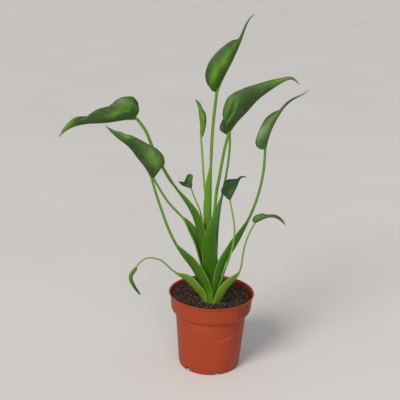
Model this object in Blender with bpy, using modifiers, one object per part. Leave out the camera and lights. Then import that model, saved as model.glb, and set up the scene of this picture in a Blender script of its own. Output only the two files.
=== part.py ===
"""A potted dancing-leaf alocasia: twelve cupped leaves on sheathed stalks, in a plastic nursery pot.

Lengths are in millimetres and angles in degrees until a mesh is made, which is in metres. The origin is
the middle of the pot's underside, +Z is up, and -Y is the side that faces the viewer.
"""

import math

import bmesh
import bpy
import numpy as np
from mathutils import Matrix

MM = 0.001
GAP = 0.35  # between pieces that touch
UP = np.array([0.0, 0.0, 1.0])

# Pot: a 12 cm nursery pot
POT_HEIGHT = 110.0
POT_RADIUS = 60.0
WALL = 1.2
COLLAR_TOP_RADIUS = 58.0
COLLAR_FOOT_RADIUS = 56.6
COLLAR_HEIGHT = 28.0
BODY_TOP_RADIUS = 49.9
BODY_FOOT_RADIUS = 43.7
FOOT_RADIUS = 42.7
FOOT_HEIGHT = 4.4
FLOOR_UNDERSIDE = 3.0
PAD_RADIUS = 13.0
POT_SIDES = 40
NOTCHES = 6
NOTCH_WIDTH = 6.4
NOTCH_HEIGHT = 5.0
NOTCH_TURN = 15.5  # the first notch, round from the front to the right

# Soil and the crown, where the leaves come out of it
SOIL_EDGE = 103.2
SOIL_TOP = 105.2
SOIL_RELIEF = 1.5
CROWN = np.array([0.0, -23.0, 0.0])
HOLE_FLOOR = 93.0
HOLE_FLOOR_RADIUS = 11.6
HOLE_TOP_RADIUS = 14.5

# Sheaths: shares of the way up one at which its wings' widths are given, and its thickness
WING_STATIONS = (0, 0.2, 0.45, 0.7, 0.88, 1)
SHEATH_KEEL = 1.15
SHEATH_EDGE = 0.7
RIB_REACH = 2.4  # how far the stalk's rib thickens each wing
MOST_LEAN = 0.7  # share of the way to the keel that the rib's thickness may reach inwards
STALK_HANDOVER = 0.05  # share of a stalk's length over which the sheath closes into the round stalk

# Blades
RIB_THICKNESS = 1.9
EDGE_THICKNESS = 0.65
TIGHTEST_CURL = 2.2  # radius, so that the blade never folds into itself
OPEN_FOLD_WIDTH = 4.0  # a half blade narrower than this folds less


def leaf(name, **shape):
    """One leaf's driving dimensions, with the values that most leaves share."""
    usual = dict(
        facets=(9, 16),  # stalk: points across a side, rings along it
        cells=(8, 12),  # blade: faces across it and along it
        bend=(30, 95),  # sheath: angles of its wings at the keel and at the wider one's margin
        fold=35,  # blade: angle of each half to the flat at the midrib
        curl=105,  # and at the margin
        lobe=4,  # how far its lobes reach back past the stalk, at the margin
        bulge=2,  # and how much further halfway out to it
        wave=(0.0, 2.0, 0.0),  # margin's ripple: height, ripples, start in turns
        fuller=(1.03, 0.97),  # how much wider its front half is, and the other
    )
    return dict(usual, name=name, **shape)


# Each stalk's path runs from the crown to its blade along the sheath's keel, and each blade's along its
# midrib to the drip tip. ring is where the sheath stands round the crown: angle from +X, and radius.
# covers is the share of the stalk that is sheathed, and opens is the way that the sheath's hollow looks.
# left and right are the widths of its wings, as they are seen from behind its keel. side is the blade's
# height from midrib to margin, along the midrib. face is the way that its hollow looks, at both ends.
LEAVES = [
    leaf(
        "tall_leaf",
        ring=(0, 2.6),
        stalk=[
            (1, -22, 130), (-1, -21.5, 154), (-4, -21, 196.5), (-5.5, -20.5, 222.5),
            (-6.5, -19.5, 253.5), (-8, -16, 321), (-6.5, -13, 365.5), (-4, -11, 397.5),
        ],
        radius=(2.4, 2.0),
        covers=0.68,
        opens=(-1, 0.6, 0),
        bend=(35, 92),
        left=(4.5, 6, 9, 10, 7, 1.6),
        right=(4, 3.5, 3.5, 3.5, 3, 1.6),
        blade=[
            (5, -10, 419.5), (13.5, -9, 437.5), (21, -8, 455.5), (26, -7, 469.5),
            (30.5, -5, 483.5), (35.5, -3, 493.5), (41, -1, 498.5),
        ],
        side=[
            (0, 14), (0.05, 18.5), (0.14, 23), (0.25, 24.5), (0.4, 22), (0.51, 17.5),
            (0.615, 10.5), (0.66, 4.5), (0.7, 3.2), (0.85, 2.2), (1, 0.4),
        ],
        face=((-1, 0.12, 0.35), (-0.8, 0.1, 0.5)),
        lobe=-4,
    ),
    leaf(
        "broad_leaf",
        ring=(268, 5.7),
        stalk=[
            (-1.5, -29, 130), (-3, -30.5, 155), (-4, -32.5, 179.5), (-4.5, -34, 201.5),
            (-4, -35, 222.5), (-1, -35.5, 244.5), (0.5, -35.5, 268.5), (4, -36, 294),
            (8.5, -37, 327), (14, -39, 353),
        ],
        radius=(2.4, 1.9),
        covers=0.54,
        opens=(0, 1, 0),
        bend=(5, 45),
        left=(7.2, 9.5, 12.5, 12, 6.5, 1.6),
        right=(7.2, 9.5, 11, 8.5, 4, 1.6),
        blade=[
            (24.5, -39.5, 368), (35.5, -40.5, 381), (48, -41.5, 396.5), (63, -42.5, 409.5),
            (78.5, -42.5, 420.5), (89.5, -42.5, 424), (99.5, -42.5, 418),
        ],
        side=[
            (0, 6.5), (0.04, 10.5), (0.08, 16), (0.12, 20), (0.2, 25), (0.28, 27.5),
            (0.35, 26.5), (0.44, 22), (0.55, 15.5), (0.7, 9.5), (0.8, 5.2), (0.9, 2.8), (1, 0.4),
        ],
        face=((-0.8, -0.05, 0.55), (-0.35, 0, 1.0)),
        wave=(1.0, 2.0, 0.2),
        lobe=-2,
        fuller=(1.19, 0.9),
    ),
    leaf(
        "back_right_leaf",
        ring=(60, 4.15),
        stalk=[
            (4.5, -17.5, 145), (5, -16.5, 180), (5, -15.5, 209.5), (6, -13, 229.5),
            (8.5, -9, 252.5), (13, -2, 280.5), (16.5, 4, 316.5), (16, 7, 338),
        ],
        radius=(1.8, 1.5),
        covers=0.66,
        opens=(-1, 0.1, 0),
        facets=(7, 14),
        cells=(6, 9),
        left=(3.9, 3.6, 6, 7.5, 7, 1.4),
        right=(3.6, 3.6, 4, 4, 3, 1.4),
        blade=[(18, 10, 351), (23, 15, 361.5), (29, 20, 371), (36, 26, 380)],
        side=[
            (0, 11), (0.05, 13.6), (0.12, 14.6), (0.22, 14), (0.36, 11.5), (0.5, 9), (0.7, 4.5),
            (0.8, 2.2), (1, 0.4),
        ],
        face=((-0.8, 0.1, 0.6), (-0.6, 0.1, 0.8)),
        lobe=-1.5,
    ),
    leaf(
        "right_leaf",
        ring=(352, 7.25),
        stalk=[
            (8, -25, 124.5), (9.5, -26.5, 137), (13, -27, 152), (17, -27, 166),
            (23, -26.5, 178), (30.5, -25.5, 192), (38, -24, 208.5), (50.5, -20.5, 240.5),
            (58, -18.5, 266.5), (62.5, -16.5, 297), (63, -15.5, 324),
        ],
        radius=(2.2, 1.7),
        covers=0.6,
        opens=(-1, 0.05, 0.4),
        left=(8, 10, 13, 12.5, 7.5, 1.6),
        right=(5.5, 5, 4.5, 4, 3.5, 1.6),
        blade=[
            (66.5, -13.5, 340), (71.5, -11.5, 355), (79, -9.5, 370), (89, -6.5, 384),
            (100.5, -2.5, 392), (109.5, 0.5, 396.5), (116.5, 3.5, 401.5),
        ],
        side=[
            (0, 9), (0.03, 12.5), (0.08, 14.3), (0.2, 14), (0.36, 12.8), (0.44, 10), (0.5, 6.5),
            (0.55, 3.2), (0.7, 2.6), (0.85, 1.8), (1, 0.4),
        ],
        face=((-1, 0.1, 0.4), (-0.6, 0.05, 0.8)),
        lobe=0,
        bulge=1,
        fuller=(1.08, 0.92),
    ),
    leaf(
        "upper_left_leaf",
        ring=(180, 4.15),
        stalk=[
            (-7.5, -23, 130), (-11, -22.5, 152), (-16.5, -22.5, 174.5), (-20.5, -22.5, 193.5),
            (-24.5, -22.5, 214), (-31, -22, 233), (-40, -21, 248.5), (-51.5, -19.5, 264.5),
            (-63.5, -17.5, 281), (-76, -15.5, 302), (-87, -14.5, 323.5), (-95.5, -13.5, 343),
            (-107.5, -12.5, 359),
        ],
        radius=(2.4, 2.0),
        covers=0.63,
        opens=(1, -0.1, 0.3),
        bend=(52, 95),
        facets=(9, 19),
        left=(4.3, 4.2, 4.2, 4.2, 4, 1.6),
        right=(5.2, 5.5, 10.5, 12, 7.3, 1.6),
        blade=[
            (-124.5, -13.5, 357.5), (-142, -16, 354.5), (-158, -18, 353), (-173, -20, 352),
            (-188, -22, 348.5), (-199.5, -24, 342.5), (-208.5, -26, 334.5),
        ],
        side=[
            (0, 22), (0.05, 28.5), (0.12, 29), (0.2, 27), (0.26, 23.5), (0.32, 20.5),
            (0.4, 19.5), (0.48, 17.5), (0.56, 12.3), (0.6, 9.8), (0.71, 10.8), (0.79, 8.3),
            (0.88, 4.4), (0.96, 1.6), (1, 0.4),
        ],
        face=((0.05, 0.2, 1.0), (-0.2, 0.1, 1.0)),
        wave=(1.0, 3.0, 0.1),
        lobe=4,
        bulge=3.5,
    ),
    leaf(
        "front_left_leaf",
        ring=(216, 8.8),
        stalk=[
            (-8, -29, 111), (-11.5, -31, 125), (-18.5, -34.5, 140.5), (-27.5, -37.5, 158.5),
            (-39, -41, 176), (-50, -45, 195), (-61.5, -49, 220.5), (-69.5, -52, 243.5),
            (-78, -54, 269), (-84.5, -56.5, 292.5),
        ],
        radius=(2.1, 1.6),
        covers=0.55,
        opens=(1, 0.05, 0.35),
        left=(8, 6, 5, 4.5, 3.5, 1.6),
        right=(10, 12, 16.5, 15.5, 10, 1.6),
        blade=[
            (-92.5, -57.5, 306.5), (-102.5, -58.5, 319.5), (-113, -59.5, 333),
            (-124, -60.5, 342), (-134, -61.5, 350.5), (-143, -63.5, 361.5),
        ],
        side=[
            (0, 12), (0.04, 20), (0.1, 23.5), (0.18, 25.5), (0.28, 24.5), (0.375, 21.5),
            (0.47, 18), (0.56, 14.5), (0.64, 12), (0.7, 9.5), (0.77, 8.5), (0.85, 4.6),
            (0.95, 1.7), (1, 0.4),
        ],
        face=((0.75, 0.15, 0.65), (0.5, 0.1, 0.85)),
        wave=(1.0, 2.5, 0.3),
        lobe=-6,
        bulge=1,
        fuller=(1.1, 0.92),
    ),
    leaf(
        "back_left_leaf",
        ring=(158, 5.7),
        stalk=[
            (-10, -19.5, 131), (-15, -18.5, 153.5), (-21, -17.5, 173.5), (-26, -17, 189.5),
            (-33.5, -15.5, 205), (-42.5, -13.5, 222), (-60, -9.5, 239.5), (-74, -6.5, 258),
            (-84.5, -4.5, 275),
        ],
        radius=(1.9, 1.5),
        covers=0.68,
        opens=(0.85, -0.45, 0.3),
        facets=(7, 14),
        cells=(6, 9),
        left=(4, 5.5, 12, 14.5, 8.5, 1.4),
        right=(2, 3.2, 4.5, 4.5, 3.5, 1.4),
        blade=[(-88, -1, 287), (-91.5, 4, 299), (-98, 10, 309), (-107, 16, 317)],
        side=[(0, 5), (0.12, 9), (0.3, 12.5), (0.5, 10), (0.68, 5), (0.8, 2.2), (1, 0.4)],
        face=((0.7, -0.2, 0.6), (0.3, -0.3, 1.0)),
        lobe=-5,
        bulge=0,
    ),
    leaf(
        "heart_leaf",
        ring=(84, 6.6),
        stalk=[
            (-1.5, -14, 130), (-7, -12, 160), (-12.5, -8, 191.5), (-20, -3, 230),
            (-28, -1.5, 248), (-33.5, 1.5, 262),
        ],
        radius=(1.2, 0.9),
        covers=0.5,
        opens=(0, -1, 0.1),
        facets=(5, 12),
        cells=(6, 7),
        left=(1.7, 2.4, 2.4, 2.2, 1.6, 1.1),
        right=(1.7, 2.4, 2.4, 2.2, 1.6, 1.1),
        blade=[(-39.5, 0.5, 264.5), (-44.5, -1.5, 266.5), (-50.5, -3.5, 271.5)],
        side=[
            (0, 10), (0.1, 14), (0.22, 14.5), (0.34, 12), (0.46, 6), (0.6, 3.6),
            (0.8, 2.8), (1, 0.5),
        ],
        face=((0.3, -0.1, 1.0), (0.3, -0.1, 1.0)),
        fold=30,
        curl=75,
        lobe=-1.5,
        bulge=0.5,
        fuller=(0.76, 1.0),
    ),
    leaf(
        "rolled_leaf",
        ring=(180, 0.9),
        stalk=[
            (-3, -22, 130), (-4.5, -21, 154), (-8.5, -19.5, 202.5), (-11, -18.5, 239.5),
            (-15, -16.5, 266), (-20, -10, 313.5), (-22.5, -7, 336.5),
        ],
        radius=(1.5, 1.4),
        covers=0.3,
        opens=(0, 1, 0),
        facets=(5, 13),
        cells=(6, 8),
        left=(1.2, 1.2, 1.2, 1.2, 1.2, 1.2),
        right=(1.2, 1.2, 1.2, 1.2, 1.2, 1.2),
        blade=[(-22, -7, 352.5), (-24, -7, 366.5), (-26.5, -6, 376), (-30.5, -5.5, 386)],
        side=[(0, 3), (0.12, 5), (0.3, 7.5), (0.55, 8.6), (0.75, 4.5), (0.9, 1.8), (1, 0.4)],
        face=((0.5, 1, 0.1), (0.5, 1, 0.1)),
        fold=2,
        curl=165,
        lobe=0,
        bulge=0,
    ),
    leaf(
        "small_right_leaf",
        ring=(328, 8.9),
        stalk=[
            (9.5, -31, 121.5), (11, -33.5, 135.5), (14, -35, 146), (16, -36, 156),
            (19, -37, 167), (22, -39, 179), (24.5, -40, 192), (26.5, -41.5, 210),
            (26, -42.5, 225), (22, -44.5, 246), (18.5, -45, 262.5),
        ],
        radius=(1.3, 1.1),
        covers=0.5,
        opens=(-1, 0.1, 0.3),
        facets=(5, 16),
        cells=(6, 8),
        left=(3, 3.2, 3, 2.6, 2, 1.2),
        right=(3, 3, 2.6, 2.2, 1.8, 1.2),
        blade=[
            (23.5, -44.5, 274), (27.5, -44.5, 284), (30.5, -43.5, 291), (35, -42.5, 293.5),
            (39, -42.5, 293),
        ],
        side=[
            (0, 8), (0.05, 12), (0.12, 15), (0.22, 16.5), (0.34, 16.5), (0.46, 15),
            (0.56, 12), (0.65, 7.5), (0.72, 3), (0.85, 2), (1, 0.4),
        ],
        face=((-1, 0.1, 0.3), (-0.6, 0.1, 1.0)),
        fold=30,
        curl=68,
        lobe=-2,
        bulge=1,
    ),
    leaf(
        "low_right_leaf",
        ring=(322, 10.35),
        stalk=[
            (11, -32.5, 110.5), (15, -35, 118.5), (19, -38, 129.5), (24.5, -41, 139.5),
            (31.5, -44.5, 150.5), (36, -46.5, 161.5), (38, -47.5, 173.5), (39.5, -49.5, 191.5),
            (42.5, -50.5, 207.5), (47, -51.5, 221.5), (53, -52.5, 234.5),
        ],
        radius=(1.4, 1.1),
        covers=0.51,
        opens=(-0.7, 0.05, 0.75),
        facets=(7, 16),
        cells=(6, 8),
        left=(8, 10, 12.5, 12, 8.5, 1.3),
        right=(6, 6, 5, 4, 3, 1.3),
        blade=[
            (61.5, -52.5, 239.5), (69.5, -52.5, 242.5), (77.5, -51.5, 242.5),
            (84.5, -50.5, 239), (93.5, -49.5, 231),
        ],
        side=[(0, 6), (0.1, 8), (0.25, 7), (0.4, 3.4), (0.6, 3.4), (0.8, 2.8), (1, 0.4)],
        face=((-0.2, 0.1, 1.0), (0.4, 0.1, 1.0)),
        lobe=2,
    ),
    leaf(
        "low_left_leaf",
        ring=(200, 10.35),
        stalk=[
            (-12, -28.5, 108), (-16, -30, 115.5), (-22, -32, 124), (-29.5, -34, 133.5),
            (-38, -36, 143), (-46.5, -37, 149), (-53.5, -38, 155), (-59.5, -39.5, 161),
            (-67.5, -41.5, 169.5), (-74.5, -42.5, 173.5), (-83.5, -43.5, 175.5),
            (-91.5, -44.5, 174.5), (-98.5, -44.5, 169), (-104, -45.5, 162),
        ],
        radius=(1.3, 1.0),
        covers=0.54,
        opens=(0.5, 0.05, 0.9),
        facets=(7, 19),
        cells=(6, 8),
        left=(7, 6, 5, 4.5, 3, 1.3),
        right=(5, 8.5, 12.5, 13, 9, 1.3),
        blade=[
            (-112, -45.5, 151.5), (-112.5, -45.5, 143), (-109, -45.5, 135.5),
            (-103.5, -44.5, 127.5), (-97.5, -44.5, 121.5),
        ],
        side=[(0, 3), (0.15, 4.2), (0.4, 4.4), (0.65, 4), (0.85, 2.4), (1, 0.5)],
        face=((0.9, -0.2, -0.3), (0.8, -0.2, -0.6)),
        fold=20,
        curl=135,
        lobe=0,
        bulge=0,
    ),
]


def unit(vectors):
    return vectors / np.linalg.norm(vectors, axis=-1, keepdims=True)


def curve_through(points, shares):
    """A natural cubic spline through the points, read at these shares of its length: places, directions."""
    points = np.array(points, float)
    knots = np.concatenate([[0], np.cumsum(np.sqrt(np.linalg.norm(np.diff(points, axis=0), axis=1)))])
    spans = np.diff(knots)
    slopes = np.diff(points, axis=0) / spans[:, None]
    count = len(points)
    system = np.eye(count)
    bends = np.zeros_like(points)
    for i in range(1, count - 1):
        system[i, i - 1 : i + 2] = spans[i - 1], 2 * (spans[i - 1] + spans[i]), spans[i]
        bends[i] = 6 * (slopes[i] - slopes[i - 1])
    bends = np.linalg.solve(system, bends)
    at = np.linspace(0, knots[-1], 400)
    span = np.clip(np.searchsorted(knots, at) - 1, 0, count - 2)
    after = (at - knots[span])[:, None]
    before = (knots[span + 1] - at)[:, None]
    width = spans[span][:, None]
    line = (bends[span] * before**3 + bends[span + 1] * after**3) / (6 * width)
    line += (points[span] / width - bends[span] * width / 6) * before
    line += (points[span + 1] / width - bends[span + 1] * width / 6) * after
    length = np.concatenate([[0], np.cumsum(np.linalg.norm(np.diff(line, axis=0), axis=1))])
    where = np.asarray(shares) * length[-1]
    directions = np.gradient(line, length, axis=0)
    read = [np.stack([np.interp(where, length, a[:, k]) for k in range(3)], 1) for a in (line, directions)]
    return read[0], unit(read[1])


def even_curve(table, at):
    """A smooth curve through (place, height) pairs that doesn't overshoot between them."""
    x, y = np.array(table, float).T
    step = np.diff(x)
    slope = np.diff(y) / step
    tangent = np.zeros_like(y)
    rising = slope[:-1] * slope[1:] > 0
    tangent[1:-1][rising] = 2 / (1 / slope[:-1][rising] + 1 / slope[1:][rising])
    tangent[0], tangent[-1] = slope[0], slope[-1]
    i = np.clip(np.searchsorted(x, at) - 1, 0, len(step) - 1)
    t = (at - x[i]) / step[i]
    rise = y[i] * (1 + 2 * t) * (1 - t) ** 2 + y[i + 1] * t * t * (3 - 2 * t)
    return rise + step[i] * (tangent[i] * t * (1 - t) ** 2 - tangent[i + 1] * t * t * (1 - t))


def smooth_step(value):
    value = np.clip(value, 0, 1)
    return value * value * (3 - 2 * value)


def cup_section(along, fold, turn):
    """Half of a folded or curled strip, at lengths along it from its fold: sideways, height, slope angle.

    The strip leaves the flat by the fold angle, and bends on from there by turn radians a millimetre.
    """
    angle = fold + turn * along
    return (np.sin(angle) - np.sin(fold)) / turn, (np.cos(fold) - np.cos(angle)) / turn, angle


def frames(directions, hints):
    """For each direction, the hollow side's direction nearest to its hint, and the right-hand one."""
    hollow = unit(hints - np.sum(hints * directions, axis=1, keepdims=True) * directions)
    return hollow, np.cross(hollow, directions)


def stalk_path(shape):
    """The stalk's points, from the bottom of the hole in the soil."""
    angle, radius = math.radians(shape["ring"][0]), shape["ring"][1]
    foot = CROWN + radius * np.array([math.cos(angle), math.sin(angle), 0])
    lift = [HOLE_FLOOR + 2 * GAP, HOLE_FLOOR + 7]
    return [foot + UP * z for z in lift] + [np.array(p, float) for p in shape["stalk"]]


def sheath_ring(shape, up_sheath, radius, across):
    """The outline of a sheath: two wings on a rib, thin at the margins."""
    wings = [even_curve(list(zip(WING_STATIONS, shape[side])), up_sheath) for side in ("left", "right")]
    opened = smooth_step(up_sheath / 0.4)
    low, high = np.radians(shape["bend"])
    widest = max(max(shape["left"]), max(shape["right"]))
    fold = low * opened
    turn = (1 - opened) / max(shape["ring"][1], 1.6) + opened * (high - low) / widest
    length = np.where(across < 0, wings[0], wings[1]) * np.abs(across) ** 1.3
    sideways, height, slope = cup_section(length, fold, turn)
    rib = SHEATH_KEEL + (2 * radius - SHEATH_KEEL) * up_sheath**1.3
    thick = SHEATH_EDGE + (rib - SHEATH_EDGE) * np.exp(-((length / RIB_REACH) ** 2))
    side = np.sign(across)
    inward = np.minimum(np.sin(slope) * thick / 2, MOST_LEAN * sideways)
    lean = np.stack([-inward * side, np.cos(slope) * thick / 2], 1)
    strip = np.stack([sideways * side, height], 1)
    return np.concatenate([strip - lean, (strip + lean)[::-1]])


def stalk_rings(shape):
    """Rings of points along one stalk: a winged sheath that closes into a round stalk."""
    sides, rings = shape["facets"]
    covers = shape["covers"]
    low_rings = round(rings * 0.68)
    bare_share = np.linspace(covers, 1, rings - low_rings + 1)[1:]
    along = np.concatenate([np.linspace(0, covers, low_rings), bare_share])
    path, directions = curve_through(stalk_path(shape), along)
    angle = math.radians(shape["ring"][0])
    inward = np.array([-math.cos(angle), -math.sin(angle), 0])
    opened = smooth_step(along / covers / 0.5)[:, None]
    hollow, sideways = frames(directions, inward * (1 - opened) + unit(np.array(shape["opens"])) * opened)
    across = np.linspace(-1, 1, sides)
    made = []
    for i, share in enumerate(along):
        radius = np.interp(share, [0, 1], shape["radius"])
        sheath = sheath_ring(shape, min(share / covers, 1), radius, across)
        turn = np.radians(80 * across)
        half = np.stack([np.sin(turn), -np.cos(turn)], 1) * radius
        round_stalk = np.concatenate([half, (half * [1, -1])[::-1]])
        closed = smooth_step((share - covers) / STALK_HANDOVER)
        ring = sheath + (round_stalk - sheath) * closed
        made.append(path[i] + ring[:, :1] * sideways[i] + ring[:, 1:] * hollow[i])
    return np.array(made)


def front_half(shape):
    """The sign of the half of a blade that is towards the front."""
    first, last = np.array(shape["blade"][0], float), np.array(shape["blade"][-1], float)
    hollow = np.sum(np.array(shape["face"], float), axis=0)
    return -np.sign(np.cross(hollow, last - first)[1])


def blade_point(shape, along, across):
    """Points on the blade's surface, at shares along its midrib and -1 to 1 across it."""
    stalk, stalk_way = curve_through(stalk_path(shape), [0.999, 1.0])
    points = np.array([stalk[-1], *shape["blade"]], float)
    way = unit(points[1] - points[0])
    bend = math.sqrt(max(0.0, 1 - float(way @ stalk_way[-1]) ** 2))
    points[0] += way * (GAP + shape["radius"][1] * bend)
    path, directions = curve_through(points, along)
    base, tip = np.array(shape["face"], float)
    hollow, sideways = frames(directions, base + (tip - base) * along[:, None])
    fold, curl = math.radians(shape["fold"]), math.radians(shape["curl"])
    wide = even_curve(shape["side"], along) * (curl - fold) / (math.cos(fold) - math.cos(curl))
    wide = wide * np.where(across * front_half(shape) > 0, *shape["fuller"])
    turn = np.minimum((curl - fold) / wide, 1 / TIGHTEST_CURL)
    fold = fold * smooth_step(wide / OPEN_FOLD_WIDTH)
    right, height, slope = cup_section(wide * np.abs(across), fold, turn)
    right *= np.sign(across)
    reach = shape["lobe"] * smooth_step((np.abs(across) - 0.2) / 0.8)
    back = (reach + shape["bulge"] * np.sin(math.pi * np.abs(across)) ** 2) * (1 - along) ** 3
    size, ripples, start = shape["wave"]
    ripple = size * np.abs(across) ** 3 * np.sin(2 * math.pi * (ripples * along + start)) * (1 - along)
    outward = np.stack([np.sin(slope) * np.sign(across), -np.cos(slope)], 1)
    right, height = right + ripple * outward[:, 0], height + ripple * outward[:, 1]
    place = path + right[:, None] * sideways + height[:, None] * hollow
    return place - directions * back[:, None]


def material(name, colour, roughness):
    made = bpy.data.materials.new(name)
    made.use_nodes = True
    shader = made.node_tree.nodes["Principled BSDF"]
    shader.inputs["Base Color"].default_value = (*colour, 1)
    shader.inputs["Roughness"].default_value = roughness
    shader.inputs["Metallic"].default_value = 0.0
    return made


def add_object(name, mesh, finish, where):
    made = bpy.data.objects.new(name, mesh)
    made.data.materials.append(finish)
    where.objects.link(made)
    return made


def loft(name, rings, finish, where):
    """A closed solid through rings of points, with a flat cap at each end."""
    bm = bmesh.new()
    rows = [[bm.verts.new(p * MM) for p in ring] for ring in rings]
    for low, high in zip(rows, rows[1:]):
        for k in range(len(low)):
            n = (k + 1) % len(low)
            bm.faces.new((low[k], low[n], high[n], high[k]))
    bm.faces.new(rows[0][::-1])
    bm.faces.new(rows[-1])
    bmesh.ops.triangulate(bm, faces=bm.faces)
    bmesh.ops.recalc_face_normals(bm, faces=bm.faces)
    mesh = bpy.data.meshes.new(name)
    bm.to_mesh(mesh)
    bm.free()
    mesh.shade_smooth()
    mesh.set_sharp_from_angle(angle=math.radians(50))
    return add_object(name, mesh, finish, where)


def blade(name, shape, finish, where):
    """A thin folded blade: a grid laid on the leaf's surface, thickened along its midrib."""
    columns, rows = shape["cells"]
    bm = bmesh.new()
    bmesh.ops.create_grid(bm, x_segments=columns, y_segments=rows, size=0.5)
    across = np.array([2 * v.co.x for v in bm.verts])
    along = np.array([v.co.y + 0.5 for v in bm.verts]) ** 1.2
    for vert, place in zip(bm.verts, blade_point(shape, along, across)):
        vert.co = place * MM
    bmesh.ops.triangulate(bm, faces=bm.faces)
    mesh = bpy.data.meshes.new(name)
    bm.to_mesh(mesh)
    bm.free()
    mesh.shade_smooth()
    made = add_object(name, mesh, finish, where)
    rib = made.vertex_groups.new(name="rib")
    for i, (u, v) in enumerate(zip(along, across)):
        rib.add([i], max(0.0, (1 - abs(v)) ** 2 * (1 - u) ** 0.7), "REPLACE")
    solid = made.modifiers.new("thickness", "SOLIDIFY")
    solid.thickness = RIB_THICKNESS * MM
    solid.vertex_group = rib.name
    solid.thickness_vertex_group = EDGE_THICKNESS / RIB_THICKNESS
    solid.offset = 0
    return made


def turned(name, profile, finish, where):
    """A profile of (radius, height) points turned round the Z axis, from inside the top to the outside."""
    mesh = bpy.data.meshes.new(name)
    points = [(r * MM, 0, z * MM) for r, z in profile]
    mesh.from_pydata(points, [(i, i + 1) for i in range(len(points) - 1)], [])
    made = add_object(name, mesh, finish, where)
    screw = made.modifiers.new("turn", "SCREW")
    screw.steps = screw.render_steps = POT_SIDES
    screw.use_merge_vertices = True
    screw.merge_threshold = 0.00005
    screw.use_smooth_shade = True
    return made


def cutter(name, mesh, where):
    made = bpy.data.objects.new(name, mesh)
    where.objects.link(made)
    made.hide_render = True
    made.display_type = "WIRE"
    return made


def cut(target, tool):
    """Takes the cutter, or a collection of them, out of the target."""
    boolean = target.modifiers.new("cut", "BOOLEAN")
    boolean.operation = "DIFFERENCE"
    boolean.solver = "EXACT"
    if isinstance(tool, bpy.types.Collection):
        boolean.operand_type = "COLLECTION"
        boolean.collection = tool
    else:
        boolean.object = tool
    return boolean


def collar_shoulder(offset):
    """The rounded underside of the pot's collar, where it steps in to the body."""
    top = POT_HEIGHT - COLLAR_HEIGHT + 8
    bottom = POT_HEIGHT - COLLAR_HEIGHT - 0.6
    wide = COLLAR_FOOT_RADIUS - BODY_TOP_RADIUS
    shoulder = []
    for turn in np.radians([0, 25, 50, 72, 90]):
        out = BODY_TOP_RADIUS + (wide - offset) * math.cos(turn)
        shoulder.append((out, top + (bottom - top + offset) * math.sin(turn)))
    return shoulder


def pot_profile():
    """From the middle of the floor inside, up the wall, over the lip and down to the underside."""
    inner_floor = FLOOR_UNDERSIDE + WALL + 0.2
    pad = WALL + 0.2
    inside = [(0, pad), (PAD_RADIUS - 1.6, pad), (PAD_RADIUS + 0.6, inner_floor)]
    inside += [(BODY_FOOT_RADIUS - WALL - 0.6, inner_floor)]
    inside += [(BODY_TOP_RADIUS - WALL, POT_HEIGHT - COLLAR_HEIGHT - 2)]
    inside += collar_shoulder(WALL)[::-1]
    inside += [(COLLAR_TOP_RADIUS - WALL, POT_HEIGHT - 3)]
    lip = [(POT_RADIUS - 1.9, POT_HEIGHT - 0.7), (POT_RADIUS - 1.2, POT_HEIGHT)]
    lip += [(POT_RADIUS - 0.5, POT_HEIGHT), (POT_RADIUS, POT_HEIGHT - 0.7)]
    lip += [(POT_RADIUS - 0.1, POT_HEIGHT - 1.6), (COLLAR_TOP_RADIUS, POT_HEIGHT - 2.2)]
    outside = collar_shoulder(0)
    outside += [(BODY_TOP_RADIUS, POT_HEIGHT - COLLAR_HEIGHT - 1.6)]
    outside += [(BODY_FOOT_RADIUS, FOOT_HEIGHT + 1.2), (FOOT_RADIUS + 0.1, FOOT_HEIGHT)]
    foot = [(FOOT_RADIUS, 0.6), (FOOT_RADIUS - 0.5, 0), (FOOT_RADIUS - 2.6, 0)]
    under = [(FOOT_RADIUS - 3.2, FLOOR_UNDERSIDE), (PAD_RADIUS + 1.2, FLOOR_UNDERSIDE)]
    return inside + lip + outside + foot + under + [(PAD_RADIUS - 0.4, 0), (0, 0)]


def make_pot(finish, parts, cutters):
    pot = turned("pot", pot_profile(), finish, parts)
    notches = bpy.data.collections.new("notches")
    cutters.children.link(notches)
    for i in range(NOTCHES):
        turn = math.radians(-90 + NOTCH_TURN + i * 360 / NOTCHES)
        bm = bmesh.new()
        bmesh.ops.create_cube(bm, size=1)
        deep = 9.0
        size = Matrix.Diagonal((deep * MM, NOTCH_WIDTH * MM, 2 * NOTCH_HEIGHT * MM, 1))
        out = Matrix.Translation(((FOOT_RADIUS - 2.0) * MM, 0, 0))
        bm.transform(Matrix.Rotation(turn, 4, "Z") @ out @ size)
        mesh = bpy.data.meshes.new(f"notch_{i + 1}")
        bm.to_mesh(mesh)
        bm.free()
        cutter(f"notch_{i + 1}", mesh, notches)
    cut(pot, notches)
    return pot


def soil_profile():
    """The compost fills the pot to just under its lip, a little higher in the middle."""
    inner_floor = FLOOR_UNDERSIDE + WALL + 0.2
    clear = WALL + GAP
    top = [(0, SOIL_TOP)]
    for share in (0.16, 0.32, 0.48, 0.64, 0.8, 0.92):
        top.append((share * COLLAR_FOOT_RADIUS, SOIL_TOP + (SOIL_EDGE - SOIL_TOP) * share**2))
    side = [(COLLAR_TOP_RADIUS - clear - 0.8, SOIL_EDGE)]
    side += collar_shoulder(clear)
    side += [(BODY_TOP_RADIUS - clear, POT_HEIGHT - COLLAR_HEIGHT - 2.2)]
    side += [(BODY_FOOT_RADIUS - clear - 0.8, inner_floor + GAP), (PAD_RADIUS + 0.9, inner_floor + GAP)]
    return top + side + [(PAD_RADIUS - 1.9, WALL + 0.2 + GAP), (0, WALL + 0.2 + GAP)]


def soil_relief(x, y):
    """Clods and hollows on the compost, from a few crossed ripples."""
    a = np.sin(0.19 * x + 0.6) * np.cos(0.23 * y - 0.4)
    b = np.sin(0.41 * x - 0.31 * y + 1.7)
    c = np.cos(0.67 * y + 0.52 * x + 0.9)
    return SOIL_RELIEF * (0.45 * a + 0.3 * b + 0.25 * c)


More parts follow.
